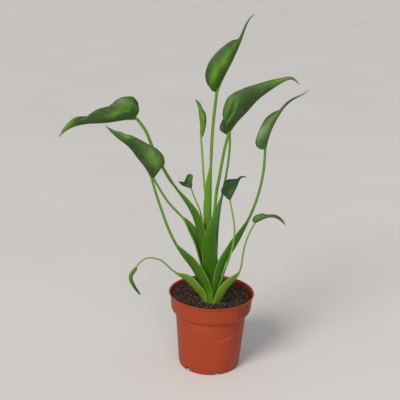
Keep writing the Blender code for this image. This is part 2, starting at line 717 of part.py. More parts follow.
def make_soil(finish, parts, cutters):
    soil = turned("soil", soil_profile(), finish, parts)
    graph = bpy.context.evaluated_depsgraph_get()
    filled = bpy.data.meshes.new_from_object(soil.evaluated_get(graph))
    soil.modifiers.clear()
    soil.data = filled
    for vert in filled.vertices:
        x, y, z = (c / MM for c in vert.co)
        if z > SOIL_EDGE + 0.2:
            vert.co.z += soil_relief(x, y) * MM
    bm = bmesh.new()
    depth = SOIL_TOP + 6 - HOLE_FLOOR
    steep = (HOLE_TOP_RADIUS - HOLE_FLOOR_RADIUS) / (SOIL_TOP - HOLE_FLOOR)
    bmesh.ops.create_cone(
        bm,
        cap_ends=True,
        segments=24,
        radius1=HOLE_FLOOR_RADIUS * MM,
        radius2=(HOLE_FLOOR_RADIUS + steep * depth) * MM,
        depth=depth * MM,
        matrix=Matrix.Translation((CROWN[0] * MM, CROWN[1] * MM, (HOLE_FLOOR + depth / 2) * MM)),
    )
    mesh = bpy.data.meshes.new("crown_hole")
    bm.to_mesh(mesh)
    bm.free()
    cut(soil, cutter("crown_hole", mesh, cutters))
    return soil


def make_leaf(shape, stalk_finish, blade_finish, parts):
    loft(shape["name"] + "_stalk", stalk_rings(shape), stalk_finish, parts)
    blade(shape["name"] + "_blade", shape, blade_finish, parts)


def main():
    for obj in list(bpy.data.objects):
        bpy.data.objects.remove(obj)
    scene = bpy.context.scene
    parts = bpy.data.collections.new("potted_alocasia")
    cutters = bpy.data.collections.new("cutters")
    scene.collection.children.link(parts)
    scene.collection.children.link(cutters)
    terracotta = material("terracotta_plastic", (0.42, 0.085, 0.035), 0.45)
    compost = material("compost", (0.035, 0.022, 0.016), 0.95)
    stalk_green = material("stalk_green", (0.13, 0.3, 0.03), 0.45)
    blade_green = material("blade_green", (0.035, 0.13, 0.022), 0.35)
    make_pot(terracotta, parts, cutters)
    make_soil(compost, parts, cutters)
    for shape in LEAVES:
        make_leaf(shape, stalk_green, blade_green, parts)


main()
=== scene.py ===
"""The looks of a potted dancing-leaf alocasia: cupped leaves on sheathed stalks, in a plastic nursery pot.

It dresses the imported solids. Each leaf is built again from the solids' own formulas with finer faces, and
gets its swells, veins and pale margins. Lengths are in millimetres and angles in degrees until a mesh is
made, which is in metres. The origin is the middle of the pot's underside, +Z is up, and -Y is the front.
"""

import math

import bmesh
import bpy
import numpy as np
from mathutils import Matrix, Vector


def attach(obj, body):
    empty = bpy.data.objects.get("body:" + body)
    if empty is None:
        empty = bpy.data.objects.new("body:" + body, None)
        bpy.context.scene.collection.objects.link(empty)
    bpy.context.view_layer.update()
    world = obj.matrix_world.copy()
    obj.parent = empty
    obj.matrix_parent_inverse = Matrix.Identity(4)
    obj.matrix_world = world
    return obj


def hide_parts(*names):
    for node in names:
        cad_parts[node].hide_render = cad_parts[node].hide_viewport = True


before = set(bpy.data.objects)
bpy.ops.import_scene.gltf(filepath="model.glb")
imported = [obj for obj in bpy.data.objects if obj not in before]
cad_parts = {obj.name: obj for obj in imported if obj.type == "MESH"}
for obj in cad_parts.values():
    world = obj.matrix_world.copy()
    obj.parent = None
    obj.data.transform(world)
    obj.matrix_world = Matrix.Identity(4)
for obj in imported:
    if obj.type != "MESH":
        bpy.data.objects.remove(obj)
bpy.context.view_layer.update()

MM = 0.001
GAP = 0.35  # between pieces that touch
UP = np.array([0.0, 0.0, 1.0])

# Pot: a 12 cm nursery pot
POT_HEIGHT = 110.0
POT_RADIUS = 60.0
WALL = 1.2
LIP_ROUNDING = 1.05
COLLAR_TOP_RADIUS = 58.0
COLLAR_FOOT_RADIUS = 56.6
COLLAR_HEIGHT = 28.0
BODY_TOP_RADIUS = 49.9
BODY_FOOT_RADIUS = 43.7
FOOT_RADIUS = 42.7
FOOT_HEIGHT = 4.4
FLOOR_UNDERSIDE = 3.0
INNER_FLOOR = FLOOR_UNDERSIDE + WALL + 0.2
PAD_RADIUS = 13.0
COLLAR_FOOT = POT_HEIGHT - COLLAR_HEIGHT
POT_SIDES = 160
POT_SHARP = 40  # edges that turn by more stay sharp
OUT_OF_ROUND = 0.3
NOTCHES = 6
NOTCH_WIDTH = 6.4
NOTCH_HEIGHT = 6.2
NOTCH_REACH = 9.0  # through the wall of the foot
NOTCH_TURN = 15.5  # the first notch, round from the front to the right
PATCH_TURNS = (38, 74)  # the rougher patch on the collar, round from the front to the right
PATCH_DEPTH = 0.25
# Scratches: both ends, in degrees to the right and height, and strength
SCRATCHES = [
    ((12, 53), (52, 61), 0.45), ((24, 58), (38, 56), 0.25), ((-32, 40), (-14, 37), 0.2),
    ((14, 24), (52, 30), 0.18),
]

# Compost and the crown, where the leaves come out of it
SOIL_EDGE = 103.2
SOIL_TOP = 105.2
SOIL_RELIEF = 1.5
SOIL_LEAN = 1.2  # how much higher it lies at the left edge, half of the rise
SOIL_HEAP = 1.3  # how high it is heaped against the crown
SOIL_LUMPS = ((5.2, 0.5), (3.1, 0.42), (1.9, 0.34), (1.15, 0.22))  # between the clods: size, height
SOIL_SIDES = 240
SOIL_ROWS = 84
CROWN = np.array([0.0, -23.0, 0.0])
CROWN_RADIUS = 10.8
HOLE_FLOOR = 93.0
CRUMBS = 6200
CROWN_CRUMBS = 6  # one in this many lies against the crown
CRUMB_REACH = 55.6
CRUMB_SIZES = (0.45, 1.7)
LARGE_CRUMB = 1.25  # larger ones have finer faces
CRUMB_LUMPS = 0.16  # how uneven a crumb is, as a share of its size
CRUMB_SQUASH = (0.55, 1.1)
FIBRES = 150
FIBRE_REACH = 52
FIBRE_STEPS = 7
FIBRE_LENGTHS = (3, 9)
FIBRE_RADII = (0.14, 0.32)
FIBRE_BEND = 0.35  # from step to step, in radians

# Sheaths: shares of the way up one at which its wings' widths are given, and its thickness
WING_STATIONS = (0, 0.2, 0.45, 0.7, 0.88, 1)
SHEATH_KEEL = 1.15
SHEATH_EDGE = 0.7
RIB_REACH = 2.4  # how far the stalk's rib thickens each wing
MOST_LEAN = 0.7  # share of the way to the keel that the rib's thickness may reach inwards
STALK_HANDOVER = 0.05  # share of a stalk's length over which the sheath closes into the round stalk
STALK_SIDES = 33
STALK_SHARP = 60  # edges that turn by more stay sharp
STALK_RINGS = 150
NECK_RINGS = 9  # where a stalk runs on into its midrib
NECK_TAPER = 0.6

# Blades
RIB_THICKNESS = 1.9
EDGE_THICKNESS = 0.65
TIGHTEST_CURL = 2.2  # radius, so that the blade never folds into itself
OPEN_FOLD_WIDTH = 4.0  # a half blade narrower than this folds less
BLADE_COLUMNS = 40
BLADE_ROWS = 96
SWELL = 0.45  # height of the soft swells between a blade's midrib and its margins

# Colours of the pot's plastic, of the marks on it, of the painted shade inside it, and of the floor
PLASTIC = ((0.25, 0.031, 0.006), (0.3, 0.038, 0.009))
PLASTIC_GRAIN = (0.38, 0.065, 0.024)
PATCH_TINT = (0.17, 0.028, 0.014)
BLOTCH_TINT = (0.13, 0.02, 0.01)
PAINTED_INSIDE_SHADE = (0.12, 0.012, 0.006)
SCUFF_TINT = (0.55, 0.24, 0.16)
SCRATCH_TINT = (0.62, 0.28, 0.18)
FLOOR_TINTS = ((0.6, 0.575, 0.545), (0.67, 0.645, 0.615))
# Colours of the compost and of its crumbs: dark, warm and dry
COMPOST_TINTS = ((0.014, 0.008, 0.005), (0.05, 0.028, 0.018), (0.08, 0.047, 0.03))
CRUMB_TINTS = ((0.018, 0.01, 0.006), (0.12, 0.066, 0.04), (0.27, 0.17, 0.11))
# Blades: deep, fresh and pale green, and how rough the skin is; the fresh green also paints the highlights
BLADE_TINTS = {
    "bright": ((0.014, 0.05, 0.002), (0.1, 0.23, 0.01), (0.12, 0.24, 0.03), 0.48),
    "full": ((0.009, 0.034, 0.003), (0.09, 0.195, 0.022), (0.1, 0.19, 0.03), 0.42),
    "soft": ((0.012, 0.045, 0.005), (0.15, 0.26, 0.07), (0.11, 0.21, 0.04), 0.46),
    "bluish": ((0.009, 0.04, 0.007), (0.06, 0.15, 0.03), (0.08, 0.17, 0.04), 0.44),
}
# Stalks: foot, sheath, bare stalk and the sheath's margin
STALK_TINTS = {
    "dark": ((0.13, 0.225, 0.014), (0.033, 0.108, 0.003), (0.108, 0.235, 0.016), (0.14, 0.27, 0.03)),
    "golden": ((0.17, 0.28, 0.018), (0.078, 0.19, 0.006), (0.115, 0.235, 0.014), (0.15, 0.29, 0.03)),
    "light": ((0.17, 0.28, 0.018), (0.1, 0.235, 0.009), (0.165, 0.3, 0.02), (0.2, 0.34, 0.045)),
    "fresh": ((0.17, 0.27, 0.022), (0.09, 0.185, 0.012), (0.14, 0.265, 0.022), (0.19, 0.32, 0.05)),
    "bluish": ((0.11, 0.2, 0.02), (0.034, 0.12, 0.014), (0.085, 0.21, 0.026), (0.16, 0.29, 0.07)),
}

# Camera: where it stands, in metres, how far it looks down and leans, and its lens
CAMERA_PLACE = (-0.02085, -1.16671, 0.63637)
CAMERA_PITCH = 18.52
CAMERA_ROLL = 2.0
CAMERA_LENS = 81.0
SENSOR_WIDTH = 36.0

# Light, with places in metres: a wide soft one from the upper left, a weak one from the front, and the sky
WINDOW_PLACE = (-0.5, -0.7, 0.72)
WINDOW_STRENGTH = 2.5
WINDOW_SPREAD = 24
WINDOW_COLOUR = (1, 0.985, 0.96)
BOUNCE_PLACE = (0.4, -2.1, 0.85)
BOUNCE_TARGET = (0, 0, 0.2)
BOUNCE_STRENGTH = 17
BOUNCE_SIZE = 1.0
SKY_COLOUR = (0.93, 0.95, 1.0, 1)
SKY_STRENGTH = 0.42
FLOOR_REACH = 14000.0


def leaf(name, tints, **shape):
    """One leaf's tints and driving dimensions, with the values that most leaves share."""
    usual = dict(
        bend=(30, 95),  # sheath: angles of its wings at the keel and at the wider one's margin
        fold=35,  # blade: angle of each half to the flat at the midrib
        curl=105,  # and at the margin
        lobe=4,  # how far its lobes reach back past the stalk, at the margin
        bulge=2,  # and how much further halfway out to it
        wave=(0.0, 2.0, 0.0),  # margin's ripple: height, ripples, start in turns
        fuller=(1.03, 0.97),  # how much wider its front half is, and the other
        # Swells and ridges also carry painted highlights, and grooves painted shade, in the leaf skin.
        swells=(),  # swells and dents: place along and across, spread, height
        creases=(),  # lines of creases: places along and across, width, depth
    )
    return dict(usual, name=name, tints=tints, **shape)


# Each leaf has the names of its blade's and its stalk's tints. A stalk's path runs from the crown to the
# blade along the sheath's keel, and a blade's along its midrib to the drip tip. ring is where the sheath
# stands round the crown: angle from +X, and radius. radius is the bare stalk's, at its foot and its end.
# covers is the share of the stalk that is sheathed, and opens is the way that the sheath's hollow looks.
# left and right are the widths of its wings, as they are seen from behind its keel. side is the blade's
# height from midrib to margin, along the midrib. face is the way that its hollow looks, at both ends.
LEAVES = [
    leaf(
        "tall_leaf", tints=("bright", "golden"), ring=(0, 2.6), radius=(2.4, 2.0), covers=0.68,
        opens=(-1, 0.6, 0), bend=(35, 92), left=(4.5, 6, 9, 10, 7, 1.6), right=(4, 3.5, 3.5, 3.5, 3, 1.6),
        face=((-1, 0.12, 0.35), (-0.8, 0.1, 0.5)), lobe=-4,
        stalk=[(1, -22, 130), (-1, -21.5, 154), (-4, -21, 196.5), (-5.5, -20.5, 222.5),
            (-6.5, -19.5, 253.5), (-8, -16, 321), (-6.5, -13, 365.5), (-4, -11, 397.5)],
        blade=[(5, -10, 419.5), (13.5, -9, 437.5), (21, -8, 455.5), (26, -7, 469.5), (30.5, -5, 483.5),
            (35.5, -3, 493.5), (41, -1, 498.5)],
        side=[(0, 14), (0.05, 18.5), (0.14, 23), (0.25, 24.5), (0.4, 22), (0.51, 17.5), (0.615, 10.5),
            (0.66, 4.5), (0.7, 3.2), (0.85, 2.2), (1, 0.4)],
        swells=[((0.4, 0.42), (0.18, 0.22), 1.4), ((0.2, 0.55), (0.12, 0.2), 0.8),
            ((0.06, 0.3), (0.08, 0.3), -0.6)],
    ),
    leaf(
        "broad_leaf", tints=("full", "dark"), ring=(268, 5.7), radius=(2.4, 1.9), covers=0.54,
        opens=(0, 1, 0), bend=(5, 45), left=(7.2, 9.5, 12.5, 12, 6.5, 1.6),
        right=(7.2, 9.5, 11, 8.5, 4, 1.6), face=((-0.8, -0.05, 0.55), (-0.35, 0, 1.0)), lobe=-2,
        wave=(1.0, 2.0, 0.2), fuller=(1.19, 0.9),
        stalk=[(-1.5, -29, 130), (-3, -30.5, 155), (-4, -32.5, 179.5), (-4.5, -34, 201.5), (-4, -35, 222.5),
            (-1, -35.5, 244.5), (0.5, -35.5, 268.5), (4, -36, 294), (8.5, -37, 327), (14, -39, 353)],
        blade=[(24.5, -39.5, 368), (35.5, -40.5, 381), (48, -41.5, 396.5), (63, -42.5, 409.5),
            (78.5, -42.5, 420.5), (89.5, -42.5, 424), (99.5, -42.5, 418)],
        side=[(0, 6.5), (0.04, 10.5), (0.08, 16), (0.12, 20), (0.2, 25), (0.28, 27.5), (0.35, 26.5),
            (0.44, 22), (0.55, 15.5), (0.7, 9.5), (0.8, 5.2), (0.9, 2.8), (1, 0.4)],
        swells=[((0.15, 0.82), (0.13, 0.16), 2.2), ((0.3, 0.82), (0.08, 0.2), 0.8),
            ((0.75, 0.6), (0.2, 0.4), 0.8)],
        creases=[
            ([(0.05, 0.82), (0.1, 0.66), (0.19, 0.62), (0.32, 0.76)], 1.4, 1.3),
            ([(0.06, 0.68), (0.12, 0.53), (0.2, 0.5), (0.33, 0.66)], 1.2, -0.9),
        ],
    ),
    leaf(
        "back_right_leaf", tints=("bluish", "bluish"), ring=(60, 4.15), radius=(1.8, 1.5), covers=0.66,
        opens=(-1, 0.1, 0), left=(3.9, 3.6, 6, 7.5, 7, 1.4), right=(3.6, 3.6, 4, 4, 3, 1.4),
        face=((-0.8, 0.1, 0.6), (-0.6, 0.1, 0.8)), lobe=-1.5,
        stalk=[(4.5, -17.5, 145), (5, -16.5, 180), (5, -15.5, 209.5), (6, -13, 229.5), (8.5, -9, 252.5),
            (13, -2, 280.5), (16.5, 4, 316.5), (16, 7, 338)],
        blade=[(18, 10, 351), (23, 15, 361.5), (29, 20, 371), (36, 26, 380)],
        side=[(0, 11), (0.05, 13.6), (0.12, 14.6), (0.22, 14), (0.36, 11.5), (0.5, 9), (0.7, 4.5),
            (0.8, 2.2), (1, 0.4)],
        swells=[((0.1, 0.85), (0.12, 0.15), 0.8)],
    ),
    leaf(
        "right_leaf", tints=("soft", "dark"), ring=(352, 7.25), radius=(2.2, 1.7), covers=0.6,
        opens=(-1, 0.05, 0.4), left=(8, 10, 13, 12.5, 7.5, 1.6), right=(5.5, 5, 4.5, 4, 3.5, 1.6),
        face=((-1, 0.1, 0.4), (-0.6, 0.05, 0.8)), lobe=0, bulge=1, fuller=(1.08, 0.92),
        stalk=[(8, -25, 124.5), (9.5, -26.5, 137), (13, -27, 152), (17, -27, 166), (23, -26.5, 178),
            (30.5, -25.5, 192), (38, -24, 208.5), (50.5, -20.5, 240.5), (58, -18.5, 266.5),
            (62.5, -16.5, 297), (63, -15.5, 324)],
        blade=[(66.5, -13.5, 340), (71.5, -11.5, 355), (79, -9.5, 370), (89, -6.5, 384), (100.5, -2.5, 392),
            (109.5, 0.5, 396.5), (116.5, 3.5, 401.5)],
        side=[(0, 9), (0.03, 12.5), (0.08, 14.3), (0.2, 14), (0.36, 12.8), (0.44, 10), (0.5, 6.5),
            (0.55, 3.2), (0.7, 2.6), (0.85, 1.8), (1, 0.4)],
        swells=[((0.34, 0.55), (0.22, 0.26), 1.6), ((0.2, 0.8), (0.14, 0.2), 0.8)],
    ),
    leaf(
        "upper_left_leaf", tints=("full", "dark"), ring=(180, 4.15), radius=(2.4, 2.0), covers=0.63,
        opens=(1, -0.1, 0.3), bend=(52, 95), left=(4.3, 4.2, 4.2, 4.2, 4, 1.6),
        right=(5.2, 5.5, 10.5, 12, 7.3, 1.6), face=((0.05, 0.2, 1.0), (-0.2, 0.1, 1.0)), lobe=4, bulge=3.5,
        wave=(1.0, 3.0, 0.1),
        stalk=[(-7.5, -23, 130), (-11, -22.5, 152), (-16.5, -22.5, 174.5), (-20.5, -22.5, 193.5),
            (-24.5, -22.5, 214), (-31, -22, 233), (-40, -21, 248.5), (-51.5, -19.5, 264.5),
            (-63.5, -17.5, 281), (-76, -15.5, 302), (-87, -14.5, 323.5), (-95.5, -13.5, 343),
            (-107.5, -12.5, 359)],
        blade=[(-124.5, -13.5, 357.5), (-142, -16, 354.5), (-158, -18, 353), (-173, -20, 352),
            (-188, -22, 348.5), (-199.5, -24, 342.5), (-208.5, -26, 334.5)],
        side=[(0, 22), (0.05, 28.5), (0.12, 29), (0.2, 27), (0.26, 23.5), (0.32, 20.5), (0.4, 19.5),
            (0.48, 17.5), (0.56, 12.3), (0.6, 9.8), (0.71, 10.8), (0.79, 8.3), (0.88, 4.4), (0.96, 1.6),
            (1, 0.4)],
        swells=[((0.14, 0.7), (0.09, 0.22), 1.6), ((0.25, 0.45), (0.12, 0.2), 0.8),
            ((0.85, 0.7), (0.12, 0.4), 0.8)],
        creases=[
            ([(0.0, 0.3), (0.07, 0.22), (0.16, 0.3), (0.22, 0.25)], 1.8, 1.3),
            ([(0.62, 0.95), (0.72, 0.5), (0.85, 0.1)], 1.6, 1.2),
            ([(0.06, 0.75), (0.1, 0.45), (0.18, 0.42)], 1.1, -0.9),
        ],
    ),
    leaf(
        "front_left_leaf", tints=("full", "dark"), ring=(216, 8.8), radius=(2.1, 1.6), covers=0.55,
        opens=(1, 0.05, 0.35), left=(8, 6, 5, 4.5, 3.5, 1.6), right=(10, 12, 16.5, 15.5, 10, 1.6),
        face=((0.75, 0.15, 0.65), (0.5, 0.1, 0.85)), lobe=-6, bulge=1, wave=(1.0, 2.5, 0.3),
        fuller=(1.1, 0.92),
        stalk=[(-8, -29, 111), (-11.5, -31, 125), (-18.5, -34.5, 140.5), (-27.5, -37.5, 158.5),
            (-39, -41, 176), (-50, -45, 195), (-61.5, -49, 220.5), (-69.5, -52, 243.5), (-78, -54, 269),
            (-84.5, -56.5, 292.5)],
        blade=[(-92.5, -57.5, 306.5), (-102.5, -58.5, 319.5), (-113, -59.5, 333), (-124, -60.5, 342),
            (-134, -61.5, 350.5), (-143, -63.5, 361.5)],
        side=[(0, 12), (0.04, 20), (0.1, 23.5), (0.18, 25.5), (0.28, 24.5), (0.375, 21.5), (0.47, 18),
            (0.56, 14.5), (0.64, 12), (0.7, 9.5), (0.77, 8.5), (0.85, 4.6), (0.95, 1.7), (1, 0.4)],
        swells=[((0.24, 0.6), (0.14, 0.26), 2.4), ((0.66, 0.75), (0.08, 0.3), 1.2)],
        creases=[([(0.5, 0.95), (0.62, 0.5), (0.8, 0.35)], 1.8, 1.0)],
    ),
    leaf(
        "back_left_leaf", tints=("full", "dark"), ring=(158, 5.7), radius=(1.9, 1.5), covers=0.68,
        opens=(0.85, -0.45, 0.3), left=(4, 5.5, 12, 14.5, 8.5, 1.4), right=(2, 3.2, 4.5, 4.5, 3.5, 1.4),
        face=((0.7, -0.2, 0.6), (0.3, -0.3, 1.0)), lobe=-5, bulge=0,
        stalk=[(-10, -19.5, 131), (-15, -18.5, 153.5), (-21, -17.5, 173.5), (-26, -17, 189.5),
            (-33.5, -15.5, 205), (-42.5, -13.5, 222), (-60, -9.5, 239.5), (-74, -6.5, 258),
            (-84.5, -4.5, 275)],
        blade=[(-88, -1, 287), (-91.5, 4, 299), (-98, 10, 309), (-107, 16, 317)],
        side=[(0, 5), (0.12, 9), (0.3, 12.5), (0.5, 10), (0.68, 5), (0.8, 2.2), (1, 0.4)],
    ),
    leaf(
        "heart_leaf", tints=("bluish", "light"), ring=(84, 6.6), radius=(1.2, 0.9), covers=0.5,
        opens=(0, -1, 0.1), left=(1.7, 2.4, 2.4, 2.2, 1.6, 1.1), right=(1.7, 2.4, 2.4, 2.2, 1.6, 1.1),
        face=((0.3, -0.1, 1.0), (0.3, -0.1, 1.0)), fold=30, curl=75, lobe=-1.5, bulge=0.5,
        fuller=(0.76, 1.0),
        stalk=[(-1.5, -14, 130), (-7, -12, 160), (-12.5, -8, 191.5), (-20, -3, 230), (-28, -1.5, 248),
            (-33.5, 1.5, 262)],
        blade=[(-39.5, 0.5, 264.5), (-44.5, -1.5, 266.5), (-50.5, -3.5, 271.5)],
        side=[(0, 10), (0.1, 14), (0.22, 14.5), (0.34, 12), (0.46, 6), (0.6, 3.6), (0.8, 2.8), (1, 0.5)],
        swells=[((0.2, 0.4), (0.5, 1.0), 0.8)],
    ),
    leaf(
        "rolled_leaf", tints=("bright", "light"), ring=(180, 0.9), radius=(1.5, 1.4), covers=0.3,
        opens=(0, 1, 0), left=(1.2, 1.2, 1.2, 1.2, 1.2, 1.2), right=(1.2, 1.2, 1.2, 1.2, 1.2, 1.2),
        face=((0.5, 1, 0.1), (0.5, 1, 0.1)), fold=2, curl=165, lobe=0, bulge=0,
        stalk=[(-3, -22, 130), (-4.5, -21, 154), (-8.5, -19.5, 202.5), (-11, -18.5, 239.5),
            (-15, -16.5, 266), (-20, -10, 313.5), (-22.5, -7, 336.5)],
        blade=[(-22, -7, 352.5), (-24, -7, 366.5), (-26.5, -6, 376), (-30.5, -5.5, 386)],
        side=[(0, 3), (0.12, 5), (0.3, 7.5), (0.55, 8.6), (0.75, 4.5), (0.9, 1.8), (1, 0.4)],
        swells=[((0.4, 0.2), (0.4, 0.5), 0.3)],
    ),
    leaf(
        "small_right_leaf", tints=("bluish", "light"), ring=(328, 8.9), radius=(1.3, 1.1), covers=0.5,
        opens=(-1, 0.1, 0.3), left=(3, 3.2, 3, 2.6, 2, 1.2), right=(3, 3, 2.6, 2.2, 1.8, 1.2),
        face=((-1, 0.1, 0.3), (-0.6, 0.1, 1.0)), fold=30, curl=68, lobe=-2, bulge=1,
        stalk=[(9.5, -31, 121.5), (11, -33.5, 135.5), (14, -35, 146), (16, -36, 156), (19, -37, 167),
            (22, -39, 179), (24.5, -40, 192), (26.5, -41.5, 210), (26, -42.5, 225), (22, -44.5, 246),
            (18.5, -45, 262.5)],
        blade=[(23.5, -44.5, 274), (27.5, -44.5, 284), (30.5, -43.5, 291), (35, -42.5, 293.5),
            (39, -42.5, 293)],
        side=[(0, 8), (0.05, 12), (0.12, 15), (0.22, 16.5), (0.34, 16.5), (0.46, 15), (0.56, 12),
            (0.65, 7.5), (0.72, 3), (0.85, 2), (1, 0.4)],
        swells=[((0.25, 0.3), (0.2, 0.15), 0.8)],
    ),
    leaf(
        "low_right_leaf", tints=("full", "fresh"), ring=(322, 10.35), radius=(1.4, 1.1), covers=0.51,
        opens=(-0.7, 0.05, 0.75), left=(8, 10, 12.5, 12, 8.5, 1.3), right=(6, 6, 5, 4, 3, 1.3),
        face=((-0.2, 0.1, 1.0), (0.4, 0.1, 1.0)), lobe=2,
        stalk=[(11, -32.5, 110.5), (15, -35, 118.5), (19, -38, 129.5), (24.5, -41, 139.5),
            (31.5, -44.5, 150.5), (36, -46.5, 161.5), (38, -47.5, 173.5), (39.5, -49.5, 191.5),
            (42.5, -50.5, 207.5), (47, -51.5, 221.5), (53, -52.5, 234.5)],
        blade=[(61.5, -52.5, 239.5), (69.5, -52.5, 242.5), (77.5, -51.5, 242.5), (84.5, -50.5, 239),
            (93.5, -49.5, 231)],
        side=[(0, 6), (0.1, 8), (0.25, 7), (0.4, 3.4), (0.6, 3.4), (0.8, 2.8), (1, 0.4)],
        swells=[((0.25, 0.55), (0.25, 0.4), 0.8)],
    ),
    leaf(
        "low_left_leaf", tints=("bright", "fresh"), ring=(200, 10.35), radius=(1.3, 1.0), covers=0.54,
        opens=(0.5, 0.05, 0.9), left=(7, 6, 5, 4.5, 3, 1.3), right=(5, 8.5, 12.5, 13, 9, 1.3),
        face=((0.9, -0.2, -0.3), (0.8, -0.2, -0.6)), fold=20, curl=135, lobe=0, bulge=0,
        stalk=[(-12, -28.5, 108), (-16, -30, 115.5), (-22, -32, 124), (-29.5, -34, 133.5), (-38, -36, 143),
            (-46.5, -37, 149), (-53.5, -38, 155), (-59.5, -39.5, 161), (-67.5, -41.5, 169.5),
            (-74.5, -42.5, 173.5), (-83.5, -43.5, 175.5), (-91.5, -44.5, 174.5), (-98.5, -44.5, 169),
            (-104, -45.5, 162)],
        blade=[(-112, -45.5, 151.5), (-112.5, -45.5, 143), (-109, -45.5, 135.5), (-103.5, -44.5, 127.5),
            (-97.5, -44.5, 121.5)],
        side=[(0, 3), (0.15, 4.2), (0.4, 4.4), (0.65, 4), (0.85, 2.4), (1, 0.5)],
        swells=[((0.4, 0.2), (0.4, 0.6), 0.2)],
    ),
]


def unit(vectors):
    """The vectors, each at length 1."""
    return vectors / np.linalg.norm(vectors, axis=-1, keepdims=True)


def curve_through(points, shares):
    """A natural cubic spline through the points, read at these shares of its length: places, directions."""
    points = np.array(points, float)
    knots = np.concatenate([[0], np.cumsum(np.sqrt(np.linalg.norm(np.diff(points, axis=0), axis=1)))])
    spans = np.diff(knots)
    slopes = np.diff(points, axis=0) / spans[:, None]
    count = len(points)
    system = np.eye(count)
    bends = np.zeros_like(points)
    for i in range(1, count - 1):
        system[i, i - 1 : i + 2] = spans[i - 1], 2 * (spans[i - 1] + spans[i]), spans[i]
        bends[i] = 6 * (slopes[i] - slopes[i - 1])
    bends = np.linalg.solve(system, bends)
    at = np.linspace(0, knots[-1], 400)
    span = np.clip(np.searchsorted(knots, at) - 1, 0, count - 2)
    after = (at - knots[span])[:, None]
    before = (knots[span + 1] - at)[:, None]
    width = spans[span][:, None]
    line = (bends[span] * before**3 + bends[span + 1] * after**3) / (6 * width)
    line += (points[span] / width - bends[span] * width / 6) * before
    line += (points[span + 1] / width - bends[span + 1] * width / 6) * after
    length = np.concatenate([[0], np.cumsum(np.linalg.norm(np.diff(line, axis=0), axis=1))])
    where = np.asarray(shares) * length[-1]
    directions = np.gradient(line, length, axis=0)
    read = [np.stack([np.interp(where, length, a[:, k]) for k in range(3)], 1) for a in (line, directions)]
    return read[0], unit(read[1])


def even_curve(table, at):
    """A smooth curve through (place, height) pairs that doesn't overshoot between them."""
    x, y = np.array(table, float).T
    step = np.diff(x)
    slope = np.diff(y) / step
    tangent = np.zeros_like(y)
    rising = slope[:-1] * slope[1:] > 0
    tangent[1:-1][rising] = 2 / (1 / slope[:-1][rising] + 1 / slope[1:][rising])
    tangent[0], tangent[-1] = slope[0], slope[-1]
    i = np.clip(np.searchsorted(x, at) - 1, 0, len(step) - 1)
    t = (at - x[i]) / step[i]
    rise = y[i] * (1 + 2 * t) * (1 - t) ** 2 + y[i + 1] * t * t * (3 - 2 * t)
    return rise + step[i] * (tangent[i] * t * (1 - t) ** 2 - tangent[i + 1] * t * t * (1 - t))


def smooth_step(value):
    """From 0 to 1, eased at both ends."""
    value = np.clip(value, 0, 1)
    return value * value * (3 - 2 * value)


def cup_section(along, fold, turn):
    """Half of a folded or curled strip, at lengths along it from its fold: sideways, height, slope angle.

    The strip leaves the flat by the fold angle, and bends on from there by turn radians a millimetre.
    """
    angle = fold + turn * along
    return (np.sin(angle) - np.sin(fold)) / turn, (np.cos(fold) - np.cos(angle)) / turn, angle


def frames(directions, hints):
    """For each direction, the hollow side's direction nearest to its hint, and the right-hand one."""
    hollow = unit(hints - np.sum(hints * directions, axis=1, keepdims=True) * directions)
    return hollow, np.cross(hollow, directions)


def stalk_path(shape):
    """The stalk's points, from the bottom of the hole in the soil."""
    angle, radius = math.radians(shape["ring"][0]), shape["ring"][1]
    foot = CROWN + radius * np.array([math.cos(angle), math.sin(angle), 0])
    lift = [HOLE_FLOOR + 2 * GAP, HOLE_FLOOR + 7]
    return [foot + UP * z for z in lift] + [np.array(p, float) for p in shape["stalk"]]


def sheath_ring(shape, up_sheath, radius, across):
    """The outline of a sheath: two wings on a rib, thin at the margins."""
    wings = [even_curve(list(zip(WING_STATIONS, shape[side])), up_sheath) for side in ("left", "right")]
    opened = smooth_step(up_sheath / 0.4)
    low, high = np.radians(shape["bend"])
    widest = max(max(shape["left"]), max(shape["right"]))
    fold = low * opened
    turn = (1 - opened) / max(shape["ring"][1], 1.6) + opened * (high - low) / widest
    length = np.where(across < 0, wings[0], wings[1]) * np.abs(across) ** 1.3
    sideways, height, slope = cup_section(length, fold, turn)
    rib = SHEATH_KEEL + (2 * radius - SHEATH_KEEL) * up_sheath**1.3
    thick = SHEATH_EDGE + (rib - SHEATH_EDGE) * np.exp(-((length / RIB_REACH) ** 2))
    side = np.sign(across)
    inward = np.minimum(np.sin(slope) * thick / 2, MOST_LEAN * sideways)
    lean = np.stack([-inward * side, np.cos(slope) * thick / 2], 1)
    strip = np.stack([sideways * side, height], 1)
    return np.concatenate([strip - lean, (strip + lean)[::-1]])


